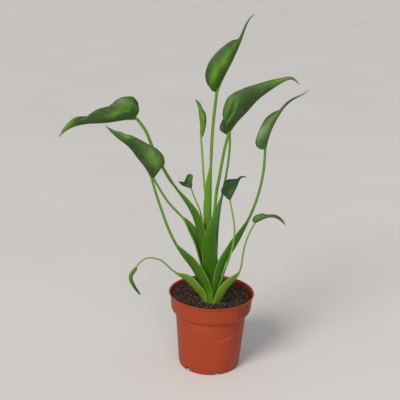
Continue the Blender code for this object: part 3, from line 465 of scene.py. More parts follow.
def stalk_rings(shape):
    """Rings of points along one stalk, their shares along it, and the points' places across the sheath."""
    covers = shape["covers"]
    along = np.linspace(0, 1, STALK_RINGS)
    path, directions = curve_through(stalk_path(shape), along)
    angle = math.radians(shape["ring"][0])
    inward = np.array([-math.cos(angle), -math.sin(angle), 0])
    opened = smooth_step(along / covers / 0.5)[:, None]
    hollow, sideways = frames(directions, inward * (1 - opened) + unit(np.array(shape["opens"])) * opened)
    across = np.linspace(-1, 1, STALK_SIDES)
    made = []
    for i, share in enumerate(along):
        radius = np.interp(share, [0, 1], shape["radius"])
        sheath = sheath_ring(shape, min(share / covers, 1), radius, across)
        turn = np.radians(80 * across)
        half = np.stack([np.sin(turn), -np.cos(turn)], 1) * radius
        round_stalk = np.concatenate([half, (half * [1, -1])[::-1]])
        closed = smooth_step((share - covers) / STALK_HANDOVER)
        ring = sheath + (round_stalk - sheath) * closed
        made.append(path[i] + ring[:, :1] * sideways[i] + ring[:, 1:] * hollow[i])
    path, directions = neck(shape)
    hollow, sideways = frames(directions, np.tile(hollow[-1], (NECK_RINGS, 1)))
    for i in range(NECK_RINGS):
        ring = round_stalk * (1 - NECK_TAPER * ((i + 1) / NECK_RINGS))
        made.append(path[i] + ring[:, :1] * sideways[i] + ring[:, 1:] * hollow[i])
    along = np.concatenate([along, np.full(NECK_RINGS, 1.0)])
    return np.array(made), along, np.concatenate([across, across[::-1]])


def blade_line(shape, along):
    """Places and directions along a blade's midrib, from the end of its stalk."""
    stalk, stalk_way = curve_through(stalk_path(shape), [0.999, 1.0])
    points = np.array([stalk[-1], *shape["blade"]], float)
    way = unit(points[1] - points[0])
    bend = math.sqrt(max(0.0, 1 - float(way @ stalk_way[-1]) ** 2))
    points[0] += way * (GAP + shape["radius"][1] * bend)
    return curve_through(points, along)


def front_half(shape):
    """The sign of the half of a blade that is towards the front."""
    first, last = np.array(shape["blade"][0], float), np.array(shape["blade"][-1], float)
    hollow = np.sum(np.array(shape["face"], float), axis=0)
    return -np.sign(np.cross(hollow, last - first)[1])


def neck(shape):
    """The end of the stalk, which runs on into the blade's midrib: places and directions."""
    stalk, _ = curve_through(stalk_path(shape), [0.97, 1.0])
    midrib, _ = blade_line(shape, [0.03, 0.08, 0.14])
    points = np.concatenate([stalk, midrib])
    steps = np.linalg.norm(np.diff(points, axis=0), axis=1)
    return curve_through(points, np.linspace(steps[0] / steps.sum(), 1, NECK_RINGS + 1)[1:])


def blade_point(shape, along, across):
    """Points on the blade's surface, at shares along its midrib and -1 to 1 across it."""
    path, directions = blade_line(shape, along)
    base, tip = np.array(shape["face"], float)
    hollow, sideways = frames(directions, base + (tip - base) * along[:, None])
    fold, curl = math.radians(shape["fold"]), math.radians(shape["curl"])
    wide = even_curve(shape["side"], along) * (curl - fold) / (math.cos(fold) - math.cos(curl))
    wide = wide * np.where(across * front_half(shape) > 0, *shape["fuller"])
    turn = np.minimum((curl - fold) / wide, 1 / TIGHTEST_CURL)
    fold = fold * smooth_step(wide / OPEN_FOLD_WIDTH)
    right, height, slope = cup_section(wide * np.abs(across), fold, turn)
    right *= np.sign(across)
    reach = shape["lobe"] * smooth_step((np.abs(across) - 0.2) / 0.8)
    back = (reach + shape["bulge"] * np.sin(math.pi * np.abs(across)) ** 2) * (1 - along) ** 3
    size, ripples, start = shape["wave"]
    ripple = size * np.abs(across) ** 3 * np.sin(2 * math.pi * (ripples * along + start)) * (1 - along)
    outward = np.stack([np.sin(slope) * np.sign(across), -np.cos(slope)], 1)
    right, height = right + ripple * outward[:, 0], height + ripple * outward[:, 1]
    place = path + right[:, None] * sideways + height[:, None] * hollow
    return place - directions * back[:, None]


class Wires:
    """Adds nodes to a material's or a group's tree, and joins them."""

    def __init__(self, tree):
        self.tree = tree

    def node(self, kind, *values, **settings):
        """A new node with its settings, and values for its first inputs."""
        made = self.tree.nodes.new(kind)
        for key, value in settings.items():
            setattr(made, key, value)
        for value, socket in zip(values, made.inputs):
            self.put(value, socket)
        return made

    def put(self, value, socket):
        """Joins a socket to an input, or sets the input to a plain value."""
        if isinstance(value, bpy.types.NodeSocket):
            self.tree.links.new(value, socket)
        else:
            socket.default_value = value

    def sum(self, operation, *values, clamp=False):
        """What one step of arithmetic makes of the values."""
        return self.node("ShaderNodeMath", *values, operation=operation, use_clamp=clamp).outputs[0]

    def times(self, one, other):
        return self.sum("MULTIPLY", one, other)

    def plus(self, value, scale, more, clamp=False):
        """The value times the scale, and then some more."""
        return self.sum("MULTIPLY_ADD", value, scale, more, clamp=clamp)

    def spread(self, value, low, high, to_low=0.0, to_high=1.0):
        """The value eased from one span to another, and held at its ends."""
        values = (value, low, high, to_low, to_high)
        return self.node("ShaderNodeMapRange", *values, interpolation_type="SMOOTHSTEP").outputs[0]

    def mix(self, share, one, other):
        """A share of one colour and the rest of the other."""
        made = self.node("ShaderNodeMix", share, data_type="RGBA")
        for colour, socket in ((one, made.inputs[6]), (other, made.inputs[7])):
            self.put((*colour, 1) if isinstance(colour, tuple) else colour, socket)
        return made.outputs[2]

    def tint(self, colour, mask, strength, other):
        """The colour, turned towards another where the mask is."""
        return self.mix(self.times(mask, strength), colour, other)

    def noise(self, place, size, detail=3.0, rough=0.5):
        """Noise with lumps of about that many millimetres."""
        made = self.node("ShaderNodeTexNoise")
        socket = isinstance(size, bpy.types.NodeSocket)
        scale = self.sum("DIVIDE", 1 / MM, size) if socket else 1 / (size * MM)
        for label, value in (("Vector", place), ("Scale", scale), ("Detail", detail), ("Roughness", rough)):
            self.put(value, made.inputs[label])
        return made.outputs["Fac"]

    def place(self):
        return self.node("ShaderNodeTexCoord").outputs["Object"]

    def read(self, name):
        """A value that the mesh holds at each of its points."""
        return self.node("ShaderNodeAttribute", attribute_name=name).outputs["Fac"]

    def group(self, tree, **values):
        """What a node group makes of these values."""
        made = self.node("ShaderNodeGroup", node_tree=tree)
        for name, value in values.items():
            self.put(value, made.inputs[name.capitalize()])
        return made.outputs


class Finish(Wires):
    """A new material: the wires of its tree, and its shader's inputs."""

    def __init__(self, name, roughness, specular=0.3):
        self.made = bpy.data.materials.new(name)
        self.made.use_nodes = True
        super().__init__(self.made.node_tree)
        self.shader = self.tree.nodes["Principled BSDF"].inputs
        self.shader["Roughness"].default_value = roughness
        self.shader["Specular IOR Level"].default_value = specular

    def join(self, colour, roughness, height, strength, distance):
        """Joins the colour, the roughness and a bump of that height to the shader."""
        bump = self.node("ShaderNodeBump")
        self.put(height, bump.inputs["Height"])
        bump.inputs["Strength"].default_value = strength
        bump.inputs["Distance"].default_value = distance * MM
        self.put(colour, self.shader["Base Color"])
        self.put(roughness, self.shader["Roughness"])
        self.put(bump.outputs["Normal"], self.shader["Normal"])
        return self.made


def new_group(name, inputs, outputs):
    """A node group with named inputs and number outputs: its wires, and its two ends."""
    tree = bpy.data.node_groups.new(name, "ShaderNodeTree")
    for label, value in inputs.items():
        kind = "NodeSocketVector" if value is None else "NodeSocketFloat"
        socket = tree.interface.new_socket(label, in_out="INPUT", socket_type=kind)
        if value is not None:
            socket.default_value = value
    for label in outputs:
        tree.interface.new_socket(label, in_out="OUTPUT", socket_type="NodeSocketFloat")
    wires = Wires(tree)
    return wires, wires.node("NodeGroupInput").outputs, wires.node("NodeGroupOutput").inputs


def cloudy_group():
    """Soft clouds of lighter and darker tissue or plastic, and a fine grain."""
    inputs = {"Place": None, "Size": 12.0, "Contrast": 1.0}
    wires, given, out = new_group("cloudy_patches", inputs, ("Patch", "Grain"))
    centred = wires.sum("SUBTRACT", wires.noise(given["Place"], given["Size"]), 0.5)
    wires.put(wires.plus(centred, given["Contrast"], 0.5, clamp=True), out["Patch"])
    wires.put(wires.noise(given["Place"], 0.9, 4.0, 0.65), out["Grain"])
    return wires.tree


def vein_group():
    """A blade's midrib, its veins that sweep towards the tip, the quilting between them, and its margin."""
    inputs = {"Along": 0.0, "Across": 0.0, "Count": 9.0, "Sweep": 2.4}
    wires, given, out = new_group("leaf_veins", inputs, ("Midrib", "Vein", "Quilt", "Margin"))
    away = wires.sum("ABSOLUTE", given["Across"])
    swept = wires.times(wires.sum("POWER", away, 1.25), given["Sweep"])
    phase = wires.sum("SUBTRACT", wires.times(given["Along"], given["Count"]), swept)
    between = wires.times(wires.sum("PINGPONG", wires.sum("ADD", phase, 20.0), 0.5), 2.0)
    inside = wires.spread(away, 0.75, 0.97, 1.0, 0.0)
    wires.put(wires.spread(away, 0.015, 0.06, 1.0, 0.0), out["Midrib"])
    wires.put(wires.times(wires.spread(between, 0.0, 0.16, 1.0, 0.0), inside), out["Vein"])
    wires.put(wires.times(wires.spread(between, 0.0, 1.0), inside), out["Quilt"])
    wires.put(wires.spread(away, 0.955, 0.99), out["Margin"])
    return wires.tree


def ridge_group():
    """Fine ridges that run the length of a stalk and its sheath."""
    inputs = {"Along": 0.0, "Across": 0.0, "Count": 9.0}
    wires, given, out = new_group("stalk_ridges", inputs, ("Height", "Streak"))
    ridge = wires.sum("SINE", wires.times(wires.times(given["Across"], given["Count"]), math.pi))
    around, up = wires.times(given["Across"], 7.0), wires.times(given["Along"], 3.0)
    laid = wires.node("ShaderNodeCombineXYZ", around, up).outputs[0]
    wires.put(wires.plus(ridge, 0.5, 0.5), out["Height"])
    wires.put(wires.spread(wires.noise(laid, 1 / MM), 0.3, 0.7), out["Streak"])
    return wires.tree


def blade_finish(name, groups, deep, fresh, pale, roughness):
    """Leaf skin: deep green, fresher as painted highlights on swells and ridges, paler at midrib and
    margin.
    """
    skin = Finish(name, roughness, specular=0.28)
    along, across = skin.read("along"), skin.read("across")
    clouds = skin.group(groups["clouds"], place=skin.place(), size=19.0, contrast=2.3)
    veins = skin.group(groups["veins"], along=along, across=across)
    # Painted highlight: fresher green on swells and ridges, weaker along grooves, where the deep green is
    # painted shade.
    painted_highlight = skin.times(skin.read("swell"), skin.spread(clouds["Patch"], 0.25, 0.75, 0.75, 1.0))
    tail = skin.spread(along, 0.66, 0.86, 0.0, 0.3)
    share = skin.plus(clouds["Patch"], 0.24, skin.plus(painted_highlight, 0.8, tail), clamp=True)
    colour = skin.mix(share, deep, fresh)
    for part, strength in (("Vein", 0.07), ("Midrib", 0.25), ("Margin", 0.12)):
        colour = skin.tint(colour, veins[part], strength, pale)
    height = skin.plus(clouds["Grain"], 0.12, skin.times(veins["Quilt"], 1.2))
    height = skin.sum("ADD", height, skin.times(veins["Midrib"], -0.5))
    return skin.join(colour, skin.plus(clouds["Grain"], 0.16, roughness - 0.08), height, 0.32, 0.4)


def stalk_finish(name, groups, foot, sheath, bare, margin):
    """Stalk skin: pale at the foot, green up the sheath and yellower where the stalk is bare."""
    skin = Finish(name, 0.42, specular=0.2)
    up, across = skin.read("up"), skin.read("across")
    ridges = skin.group(groups["ridges"], along=skin.read("along"), across=across)
    clouds = skin.group(groups["clouds"], place=skin.place(), size=18.0, contrast=1.6)
    away = skin.sum("ABSOLUTE", across)
    on_sheath = skin.spread(up, 0.95, 1.05, 1.0, 0.0)
    colour = skin.mix(skin.spread(up, 0.08, 0.42), foot, sheath)
    colour = skin.mix(skin.spread(up, 0.75, 1.15), colour, bare)
    edge = skin.times(skin.spread(away, 0.86, 0.99), on_sheath)
    colour = skin.tint(colour, edge, 0.75, margin)
    keel = skin.times(skin.spread(away, 0.1, 0.5, 1.0, 0.0), on_sheath)
    colour = skin.tint(colour, keel, 0.6, tuple(0.62 * c for c in sheath))
    shade = skin.plus(ridges["Streak"], 0.3, skin.times(clouds["Patch"], 0.3))
    colour = skin.mix(shade, colour, sheath)
    height = skin.plus(ridges["Height"], 0.5, skin.times(clouds["Grain"], 0.3))
    return skin.join(colour, skin.plus(clouds["Grain"], 0.2, 0.32), height, 0.3, 0.25)


def pot_finish(groups):
    """Moulded terracotta-coloured plastic: clouded, finely grained and scuffed, with painted shade
    darkening its inside.
    """
    skin = Finish("terracotta_plastic_skin", 0.45, specular=0.22)
    place, patch = skin.place(), skin.read("patch")
    clouds = skin.group(groups["clouds"], place=place, size=40.0, contrast=1.6)
    blotched = skin.times(patch, skin.spread(skin.noise(place, 1.6), 0.44, 0.58))
    colour = skin.mix(clouds["Patch"], *PLASTIC)
    colour = skin.tint(colour, clouds["Grain"], 0.18, PLASTIC_GRAIN)
    colour = skin.tint(colour, patch, 0.24, PATCH_TINT)
    colour = skin.tint(colour, blotched, 0.75, BLOTCH_TINT)
    # Painted shade: the inside wall is darkened.
    colour = skin.tint(colour, skin.read("inside"), 0.55, PAINTED_INSIDE_SHADE)
    drawn_out = skin.node("ShaderNodeMapping", place)
    drawn_out.inputs["Rotation"].default_value = (0.0, math.radians(-14), 0.0)
    drawn_out.inputs["Scale"].default_value = (0.12, 0.12, 1.6)
    streaks = skin.spread(skin.noise(drawn_out.outputs[0], 3.2, 2.0), 0.71, 0.76)
    scuff = skin.times(streaks, skin.spread(skin.noise(place, 30.0, 1.0), 0.52, 0.62))
    colour = skin.tint(colour, scuff, 0.3, SCUFF_TINT)
    for start, end, strength in SCRATCHES:
        colour = skin.tint(colour, scratch(skin, place, start, end), strength, SCRATCH_TINT)
    rough = skin.sum("ADD", skin.plus(clouds["Grain"], 0.2, 0.36), skin.times(patch, 0.12))
    height = skin.plus(clouds["Grain"], 0.25, skin.times(blotched, 1.2))
    return skin.join(colour, rough, height, 0.35, 0.22)


def scratch(skin, place, start, end):
    """A broken fine scratch round the pot's side, between two places: degrees to the right, and height."""
    x, y, z = skin.node("ShaderNodeSeparateXYZ", place).outputs
    turn = skin.times(skin.sum("ARCTAN2", x, skin.times(y, -1.0)), 180 / math.pi)
    share = skin.sum("DIVIDE", skin.sum("SUBTRACT", turn, start[0]), end[0] - start[0])
    line = skin.plus(share, (end[1] - start[1]) * MM, start[1] * MM)
    away = skin.sum("ABSOLUTE", skin.sum("SUBTRACT", z, line))
    near = skin.spread(away, 0.15 * MM, 0.55 * MM, 1.0, 0.0)
    ends = skin.times(skin.spread(share, 0.0, 0.15), skin.spread(share, 0.85, 1.0, 1.0, 0.0))
    broken = skin.spread(skin.noise(place, 3.0, 2.0), 0.4, 0.55, 0.25, 1.0)
    return skin.times(skin.times(near, ends), broken)


def compost_finish(name, groups, dark, warm, dry):
    """Dark moist compost, with crumbs from nearly black to dry tan."""
    skin = Finish(name, 0.9, specular=0.25)
    place, shade = skin.place(), skin.read("shade")
    clouds = skin.group(groups["clouds"], place=place, size=5.0, contrast=2.5)
    colour = skin.mix(skin.spread(shade, 0.15, 0.8), dark, warm)
    colour = skin.mix(skin.spread(shade, 0.93, 1.0), colour, dry)
    colour = skin.tint(colour, clouds["Patch"], 0.5, dark)
    height = skin.sum("ADD", clouds["Grain"], skin.noise(place, 2.2))
    return skin.join(colour, skin.plus(clouds["Grain"], 0.3, 0.68), height, 0.8, 0.5)


def floor_finish():
    """A pale floor with very faint, wide clouds."""
    skin = Finish("pale_floor", 0.6)
    skin.put(skin.mix(skin.noise(skin.place(), 300.0, 2.0), *FLOOR_TINTS), skin.shader["Base Color"])
    return skin.made


def dress(piece, node):
    """Puts a piece on the frame, in place of its plain solid."""
    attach(piece, "root")
    if node:
        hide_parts(node)


def new_mesh(name, places, faces):
    """A mesh of points in millimetres."""
    made = bpy.data.meshes.new(name)
    made.from_pydata((places * MM).tolist(), [], faces)
    made.update()
    return made


def new_piece(mesh, finish, **notes):
    """A smooth piece, with values at each of its points for its finish to read."""
    for name, values in notes.items():
        kept = mesh.attributes.new(name, "FLOAT", "POINT")
        kept.data.foreach_set("value", np.asarray(values, np.float32))
    mesh.materials.append(finish)
    made = bpy.data.objects.new(mesh.name, mesh)
    bpy.context.scene.collection.objects.link(made)
    mesh.shade_smooth()
    return made


def grid_faces(rows, columns, closed=False):
    """Quads between neighbouring points of rows laid one after another."""
    faces = []
    for i in range(rows - 1):
        for j in range(columns if closed else columns - 1):
            n = (j + 1) % columns
            faces.append((i * columns + j, i * columns + n, (i + 1) * columns + n, (i + 1) * columns + j))
    return faces


def stalk_piece(shape, finish):
    """One stalk and its sheath, at full smoothness."""
    rings, share, across = stalk_rings(shape)
    rows, columns = rings.shape[:2]
    faces = grid_faces(rows, columns, closed=True)
    faces.append(tuple(range(columns))[::-1])
    faces.append(tuple(range((rows - 1) * columns, rows * columns)))
    mesh = new_mesh(shape["name"] + "_stalk_skin", rings.reshape(-1, 3), faces)
    along, up = np.repeat(share, columns) * 10, np.repeat(share / shape["covers"], columns)
    piece = new_piece(mesh, finish, along=along, up=up, across=np.tile(across, rows))
    piece.data.set_sharp_from_angle(angle=math.radians(STALK_SHARP))
    dress(piece, shape["name"] + "_stalk")


def blade_piece(shape, seed, finish):
    """One blade: a fine grid on the leaf's surface with swells and creases, thickened along its midrib."""
    u = np.linspace(0, 1, BLADE_ROWS + 1) ** 1.15
    v = np.linspace(-1, 1, BLADE_COLUMNS + 1)
    along, across = (a.ravel() for a in np.meshgrid(u, v, indexing="ij"))
    places = blade_point(shape, along, across)
    places = places + outward(places) * blade_relief(shape, seed, along, across)[:, None]
    mesh = new_mesh(shape["name"] + "_blade_skin", places, grid_faces(len(u), len(v)))
    # The swell values are painted highlights on swells and ridges, and painted shade along grooves.
    swell = painted_highlight_share(shape, along, across)
    piece = new_piece(mesh, finish, along=along, across=across, swell=swell)
    rib = piece.vertex_groups.new(name="rib")
    weight = (1 - np.abs(across)) ** 4 * (1 - along) ** 0.7
    for i, share in enumerate(weight.tolist()):
        rib.add([i], share, "REPLACE")
    solid = piece.modifiers.new("thickness", "SOLIDIFY")
    solid.thickness = RIB_THICKNESS * MM
    solid.vertex_group = rib.name
    solid.thickness_vertex_group = EDGE_THICKNESS / RIB_THICKNESS
    solid.offset = 0
    dress(piece, shape["name"] + "_blade")


def outward(places):
    """For each point of a blade's grid, the way out of its cup."""
    grid = places.reshape(BLADE_ROWS + 1, BLADE_COLUMNS + 1, 3)
    normal = unit(np.cross(np.gradient(grid, axis=0), np.gradient(grid, axis=1)) + 1e-9)
    inside = (grid[:, :1] + grid[:, -1:]) / 2
    return (normal * np.sign(np.sum(normal * (grid - inside)))).reshape(-1, 3)


def blade_relief(shape, seed, along, across):
    """Height of a blade's swells, dents and creases, in the way out of its cup."""
    start = 1.7 * seed
    side = np.where(across < 0, 0.0, 2.1)
    away = np.abs(across)
    rows = np.sin(2 * math.pi * (2.3 * along - 0.6 * away) + start + side)
    folds = np.sin(2 * math.pi * (4.1 * along - 1.1 * away) + 2.3 * start - side)
    size = SWELL * min(1.0, max(height for _, height in shape["side"]) / 20)
    relief = size * (0.65 * rows + 0.35 * folds) * np.sin(math.pi * away**0.8) * (1 - along) ** 0.6
    front = across * front_half(shape)
    for swell in shape["swells"]:
        relief += swell[2] * swell_shape(swell, along, front)
    for line, width, depth in shape["creases"]:
        relief -= depth * crease_shape(shape, line, width, along, front)
    return relief


def swell_shape(swell, along, front):
    """How much of a swell's height there is at each point of a blade: 0 to 1."""
    place, spread, _ = swell
    return np.exp(-(((along - place[0]) / spread[0]) ** 2) - ((front - place[1]) / spread[1]) ** 2)


def painted_highlight_share(shape, along, across):
    """Where painted highlights lie on a blade: on its swells and ridges, less along its grooves, 0 to 1."""
    front = across * front_half(shape)
    share = np.zeros_like(along)
    for swell in shape["swells"]:
        for side in (front, -front):
            share = np.maximum(share, np.sign(swell[2]) * swell_shape(swell, along, side))
    for line, width, depth in shape["creases"]:
        near = crease_shape(shape, line, width, along, front)
        # Grooves weaken the painted highlight, which paints shade in them; ridges get a painted highlight
        # of their own.
        share = share * (1 - 0.55 * near) if depth > 0 else np.maximum(share, near)
    return share


def crease_shape(shape, line, width, along, front):
    """How much of a crease's depth there is at each point of a blade, by its distance on the flat blade."""
    ends = np.array([shape["blade"][0], shape["blade"][-1]], float)
    scale = np.array([np.linalg.norm(ends[1] - ends[0]), max(height for _, height in shape["side"])])
    points = np.stack([along, front], 1) * scale
    corners = np.array(line, float) * scale
    nearest = np.full(len(points), 1e9)
    for a, b in zip(corners[:-1], corners[1:]):
        t = np.clip((points - a) @ (b - a) / ((b - a) @ (b - a)), 0, 1)
        nearest = np.minimum(nearest, np.linalg.norm(points - a - t[:, None] * (b - a), axis=1))
    return np.exp(-((nearest / width) ** 2))


def turned_points(profile, sides):
    """A profile of (radius, height) points turned round the Z axis, ring by ring from its start."""
    turn = np.arange(sides) * 2 * math.pi / sides
    ring = np.stack([np.cos(turn), np.sin(turn), np.zeros(sides)], 1)
    return np.concatenate([ring * r + UP * z for r, z in profile]), np.tile(turn, len(profile))


def arc(centre, radius, start, end, steps):
    """Points on an arc of a profile, between two angles."""
    turns = np.radians(np.linspace(start, end, steps))
    return [(centre[0] + radius * math.cos(t), centre[1] + radius * math.sin(t)) for t in turns]


def collar_shoulder(offset, steps=12):
    """The rounded underside of the pot's collar, where it steps in to the body."""
    top, bottom = COLLAR_FOOT + 8, COLLAR_FOOT - 0.6
    wide = COLLAR_FOOT_RADIUS - BODY_TOP_RADIUS
    shoulder = []
    for turn in np.linspace(0, math.pi / 2, steps):
        out = BODY_TOP_RADIUS + (wide - offset) * math.cos(turn)
        shoulder.append((out, top + (bottom - top + offset) * math.sin(turn)))
    return shoulder


def pot_profile():
    """From the middle of the floor inside, up the wall, over the lip and down to the underside."""
    pad = WALL + 0.2
    inside = [(0.02, pad), (PAD_RADIUS - 1.6, pad), (PAD_RADIUS + 0.6, INNER_FLOOR)]
    inside += [(BODY_FOOT_RADIUS - WALL - 2.4, INNER_FLOOR)]
    inside += arc((BODY_FOOT_RADIUS - WALL - 2.6, INNER_FLOOR + 2), 2, -70, 0, 5)
    inside += [(BODY_TOP_RADIUS - WALL, COLLAR_FOOT - 2)]
    inside += collar_shoulder(WALL)[::-1]
    inside += [(COLLAR_TOP_RADIUS - WALL, POT_HEIGHT - 3.4)]
    inside += [(COLLAR_TOP_RADIUS - WALL + 0.1, POT_HEIGHT - 2.2)]
    lip = arc((POT_RADIUS - LIP_ROUNDING, POT_HEIGHT - LIP_ROUNDING), LIP_ROUNDING, 150, -60, 14)
    lip += [(COLLAR_TOP_RADIUS + 0.35, POT_HEIGHT - 2.3), (COLLAR_TOP_RADIUS, POT_HEIGHT - 2.7)]
    middle = (COLLAR_TOP_RADIUS + COLLAR_FOOT_RADIUS) / 2
    outside = [(COLLAR_TOP_RADIUS - 0.1, POT_HEIGHT - 5), (middle, POT_HEIGHT - 11)]
    outside += collar_shoulder(0)
    outside += [(BODY_TOP_RADIUS - 0.35, COLLAR_FOOT - 1.0)]
    body_top, body_foot = COLLAR_FOOT - 1.9, FOOT_HEIGHT + 1.2
    outside += [(BODY_TOP_RADIUS - 0.05, body_top)]
    for share in (0.25, 0.5, 0.75, 0.92):
        radius = BODY_TOP_RADIUS + (BODY_FOOT_RADIUS - BODY_TOP_RADIUS) * share
        outside.append((radius, body_top - (body_top - body_foot) * share))
    outside += [(BODY_FOOT_RADIUS, body_foot), (FOOT_RADIUS + 0.35, FOOT_HEIGHT + 0.2)]
    outside += [(FOOT_RADIUS + 0.1, FOOT_HEIGHT - 0.5)]
    foot = arc((FOOT_RADIUS - 0.7, 0.7), 0.7, 0, -90, 6) + [(FOOT_RADIUS - 2.6, 0)]
    under = [(FOOT_RADIUS - 3.2, FLOOR_UNDERSIDE), (PAD_RADIUS + 1.2, FLOOR_UNDERSIDE)]
    return inside + lip + outside + foot + under + [(PAD_RADIUS - 0.4, 0), (0.02, 0)], len(inside)


def pot_piece(finish):
    """The nursery pot: turned, a little out of round, with a rougher patch on its collar and notches."""
    profile, inside_count = pot_profile()
    places, turn = turned_points(profile, POT_SIDES)
    round_right = np.degrees((turn + math.pi / 2 + math.pi) % (2 * math.pi) - math.pi)
    radius, height = np.linalg.norm(places[:, :2], axis=1), places[:, 2]
    outer = np.repeat(np.arange(len(profile)) >= inside_count, POT_SIDES)
    low, high = PATCH_TURNS
    side = smooth_step((round_right - low) / 1.5) * smooth_step((high - round_right) / 6)
    level = smooth_step((height - COLLAR_FOOT - 5) / 3) * smooth_step((POT_HEIGHT - 3 - height) / 2)
    patch = side * level * outer
    warp = OUT_OF_ROUND * np.sin(2 * turn + 0.7) * smooth_step((height - 60) / 40)
    pull = (warp - PATCH_DEPTH * patch) / np.maximum(radius, 1)
    places[:, :2] *= 1 + pull[:, None]
    mesh = new_mesh("pot_skin", places, grid_faces(len(profile), POT_SIDES, closed=True))
    bm = bmesh.new()
    bm.from_mesh(mesh)
    bmesh.ops.holes_fill(bm, edges=[e for e in bm.edges if e.is_boundary])
    bmesh.ops.recalc_face_normals(bm, faces=bm.faces)
    bm.to_mesh(mesh)
    bm.free()
    # inside marks the inner wall, which the skin darkens as painted shade.
    piece = new_piece(mesh, finish, patch=patch, inside=1 - outer)
    cut_notches(piece)
    piece.data.set_sharp_from_angle(angle=math.radians(POT_SHARP))
    dress(piece, "pot")


def cut_notches(pot):
    """Cuts the drainage notches out of the foot of the pot."""
    bm = bmesh.new()
    size = Matrix.Diagonal((NOTCH_REACH * MM, NOTCH_WIDTH * MM, 2 * NOTCH_HEIGHT * MM, 1))
    out = Matrix.Translation(((FOOT_RADIUS - 2.0) * MM, 0, 0))
    for i in range(NOTCHES):
        turn = math.radians(-90 + NOTCH_TURN + i * 360 / NOTCHES)
        bmesh.ops.create_cube(bm, size=1, matrix=Matrix.Rotation(turn, 4, "Z") @ out @ size)
    mesh = bpy.data.meshes.new("notches")
    bm.to_mesh(mesh)
    bm.free()
    tool = bpy.data.objects.new("notches", mesh)
    bpy.context.scene.collection.objects.link(tool)
    cut = pot.modifiers.new("cut", "BOOLEAN")
    cut.operation = "DIFFERENCE"
    cut.solver = "EXACT"
    cut.object = tool
    graph = bpy.context.evaluated_depsgraph_get()
    made = bpy.data.meshes.new_from_object(pot.evaluated_get(graph))
    pot.modifiers.clear()
    pot.data = made
    bpy.data.objects.remove(tool)


def soil_relief(x, y):
    """Clods and hollows on the compost, from a few crossed ripples."""
    a = np.sin(0.19 * x + 0.6) * np.cos(0.23 * y - 0.4)
    b = np.sin(0.41 * x - 0.31 * y + 1.7)
    c = np.cos(0.67 * y + 0.52 * x + 0.9)
    return SOIL_RELIEF * (0.45 * a + 0.3 * b + 0.25 * c)


def fine_relief(x, y):
    """Small lumps between the clods."""
    lumps = np.zeros_like(x)
    for k, (size, high) in enumerate(SOIL_LUMPS):
        turn = 0.9 + 1.3 * k
        across = (x * math.cos(turn) + y * math.sin(turn)) / size
        away = (y * math.cos(turn) - x * math.sin(turn)) / size
        wander = np.sin(0.37 * across * 2.1 + k) + np.cos(0.43 * away * 1.9 - k)
        lumps += high * np.sin(across * 2 + 1.4 * wander) * np.sin(away * 2 - 1.1 * wander + k)
    return lumps


def from_crown(x, y):
    """How far a place on the compost is from the middle of the crown."""
    return np.hypot(x - CROWN[0], y - CROWN[1])


def soil_height(x, y):
    """Height of the compost: nearly level, a little higher in the middle, heaped against the crown."""
    radius = np.hypot(x, y)
    level = SOIL_TOP + (SOIL_EDGE - SOIL_TOP) * (radius / COLLAR_FOOT_RADIUS) ** 2
    rough = smooth_step((COLLAR_TOP_RADIUS - WALL - radius) / 4)
    heap = SOIL_HEAP * np.exp(-(((from_crown(x, y) - CROWN_RADIUS) / 5) ** 2))
    lean = SOIL_LEAN * (1 - x / COLLAR_FOOT_RADIUS) * (radius / COLLAR_FOOT_RADIUS) ** 2
    return level + lean + (soil_relief(x, y) + fine_relief(x, y)) * rough + heap


def on_soil(x, y):
    """The compost's height at one place."""
    return float(soil_height(np.array([x]), np.array([y]))[0])


def soil_piece(finish):
    """The body of the compost: a lumpy top and plain sides down to the pot's floor."""
    clear = WALL + GAP
    radii = np.concatenate([[0.05], np.linspace(0.9, COLLAR_TOP_RADIUS - clear - 0.8, SOIL_ROWS)])
    side = collar_shoulder(clear, 6)
    side += [(BODY_TOP_RADIUS - clear, COLLAR_FOOT - 2.2)]
    side += [(BODY_FOOT_RADIUS - clear - 2.8, INNER_FLOOR + GAP), (0.05, INNER_FLOOR + GAP)]
    places, _ = turned_points([(r, 0.0) for r in radii] + side, SOIL_SIDES)
    top = places[: len(radii) * SOIL_SIDES]
    top[:, 2] = soil_height(top[:, 0], top[:, 1])
    faces = grid_faces(len(radii) + len(side), SOIL_SIDES, closed=True)
    mesh = new_mesh("compost_body", places, faces)
    mesh.flip_normals()
    shade = np.random.default_rng(3).uniform(0.0, 0.62, len(places))
    dress(new_piece(mesh, finish, shade=shade), "soil")


def crumb_form(subdivisions):
    """The points and faces of a ball, which crumbs are made from."""
    bm = bmesh.new()
    bmesh.ops.create_icosphere(bm, subdivisions=subdivisions, radius=1)
    points = np.array([v.co for v in bm.verts])
    faces = np.array([[v.index for v in f.verts] for f in bm.faces])
    bm.free()
    return points, faces


def crumb(rng, x, y, forms):
    """A lumpy crumb that lies on the compost: points, faces and shade."""
    low, high = CRUMB_SIZES
    size = low + (high - low) * rng.uniform() ** 3
    form, faces = forms[size > LARGE_CRUMB]
    lumps = form * (1 + rng.normal(0, CRUMB_LUMPS, (len(form), 1)))
    squash = rng.uniform(*CRUMB_SQUASH, 3)
    spin = Matrix.Rotation(rng.uniform(0, 6.28), 3, Vector(rng.normal(size=3)))
    points = (lumps * squash * size) @ np.array(spin).T + (x, y, on_soil(x, y) + 0.25 * size)
    return points, faces, rng.uniform(0, 1) ** 1.15


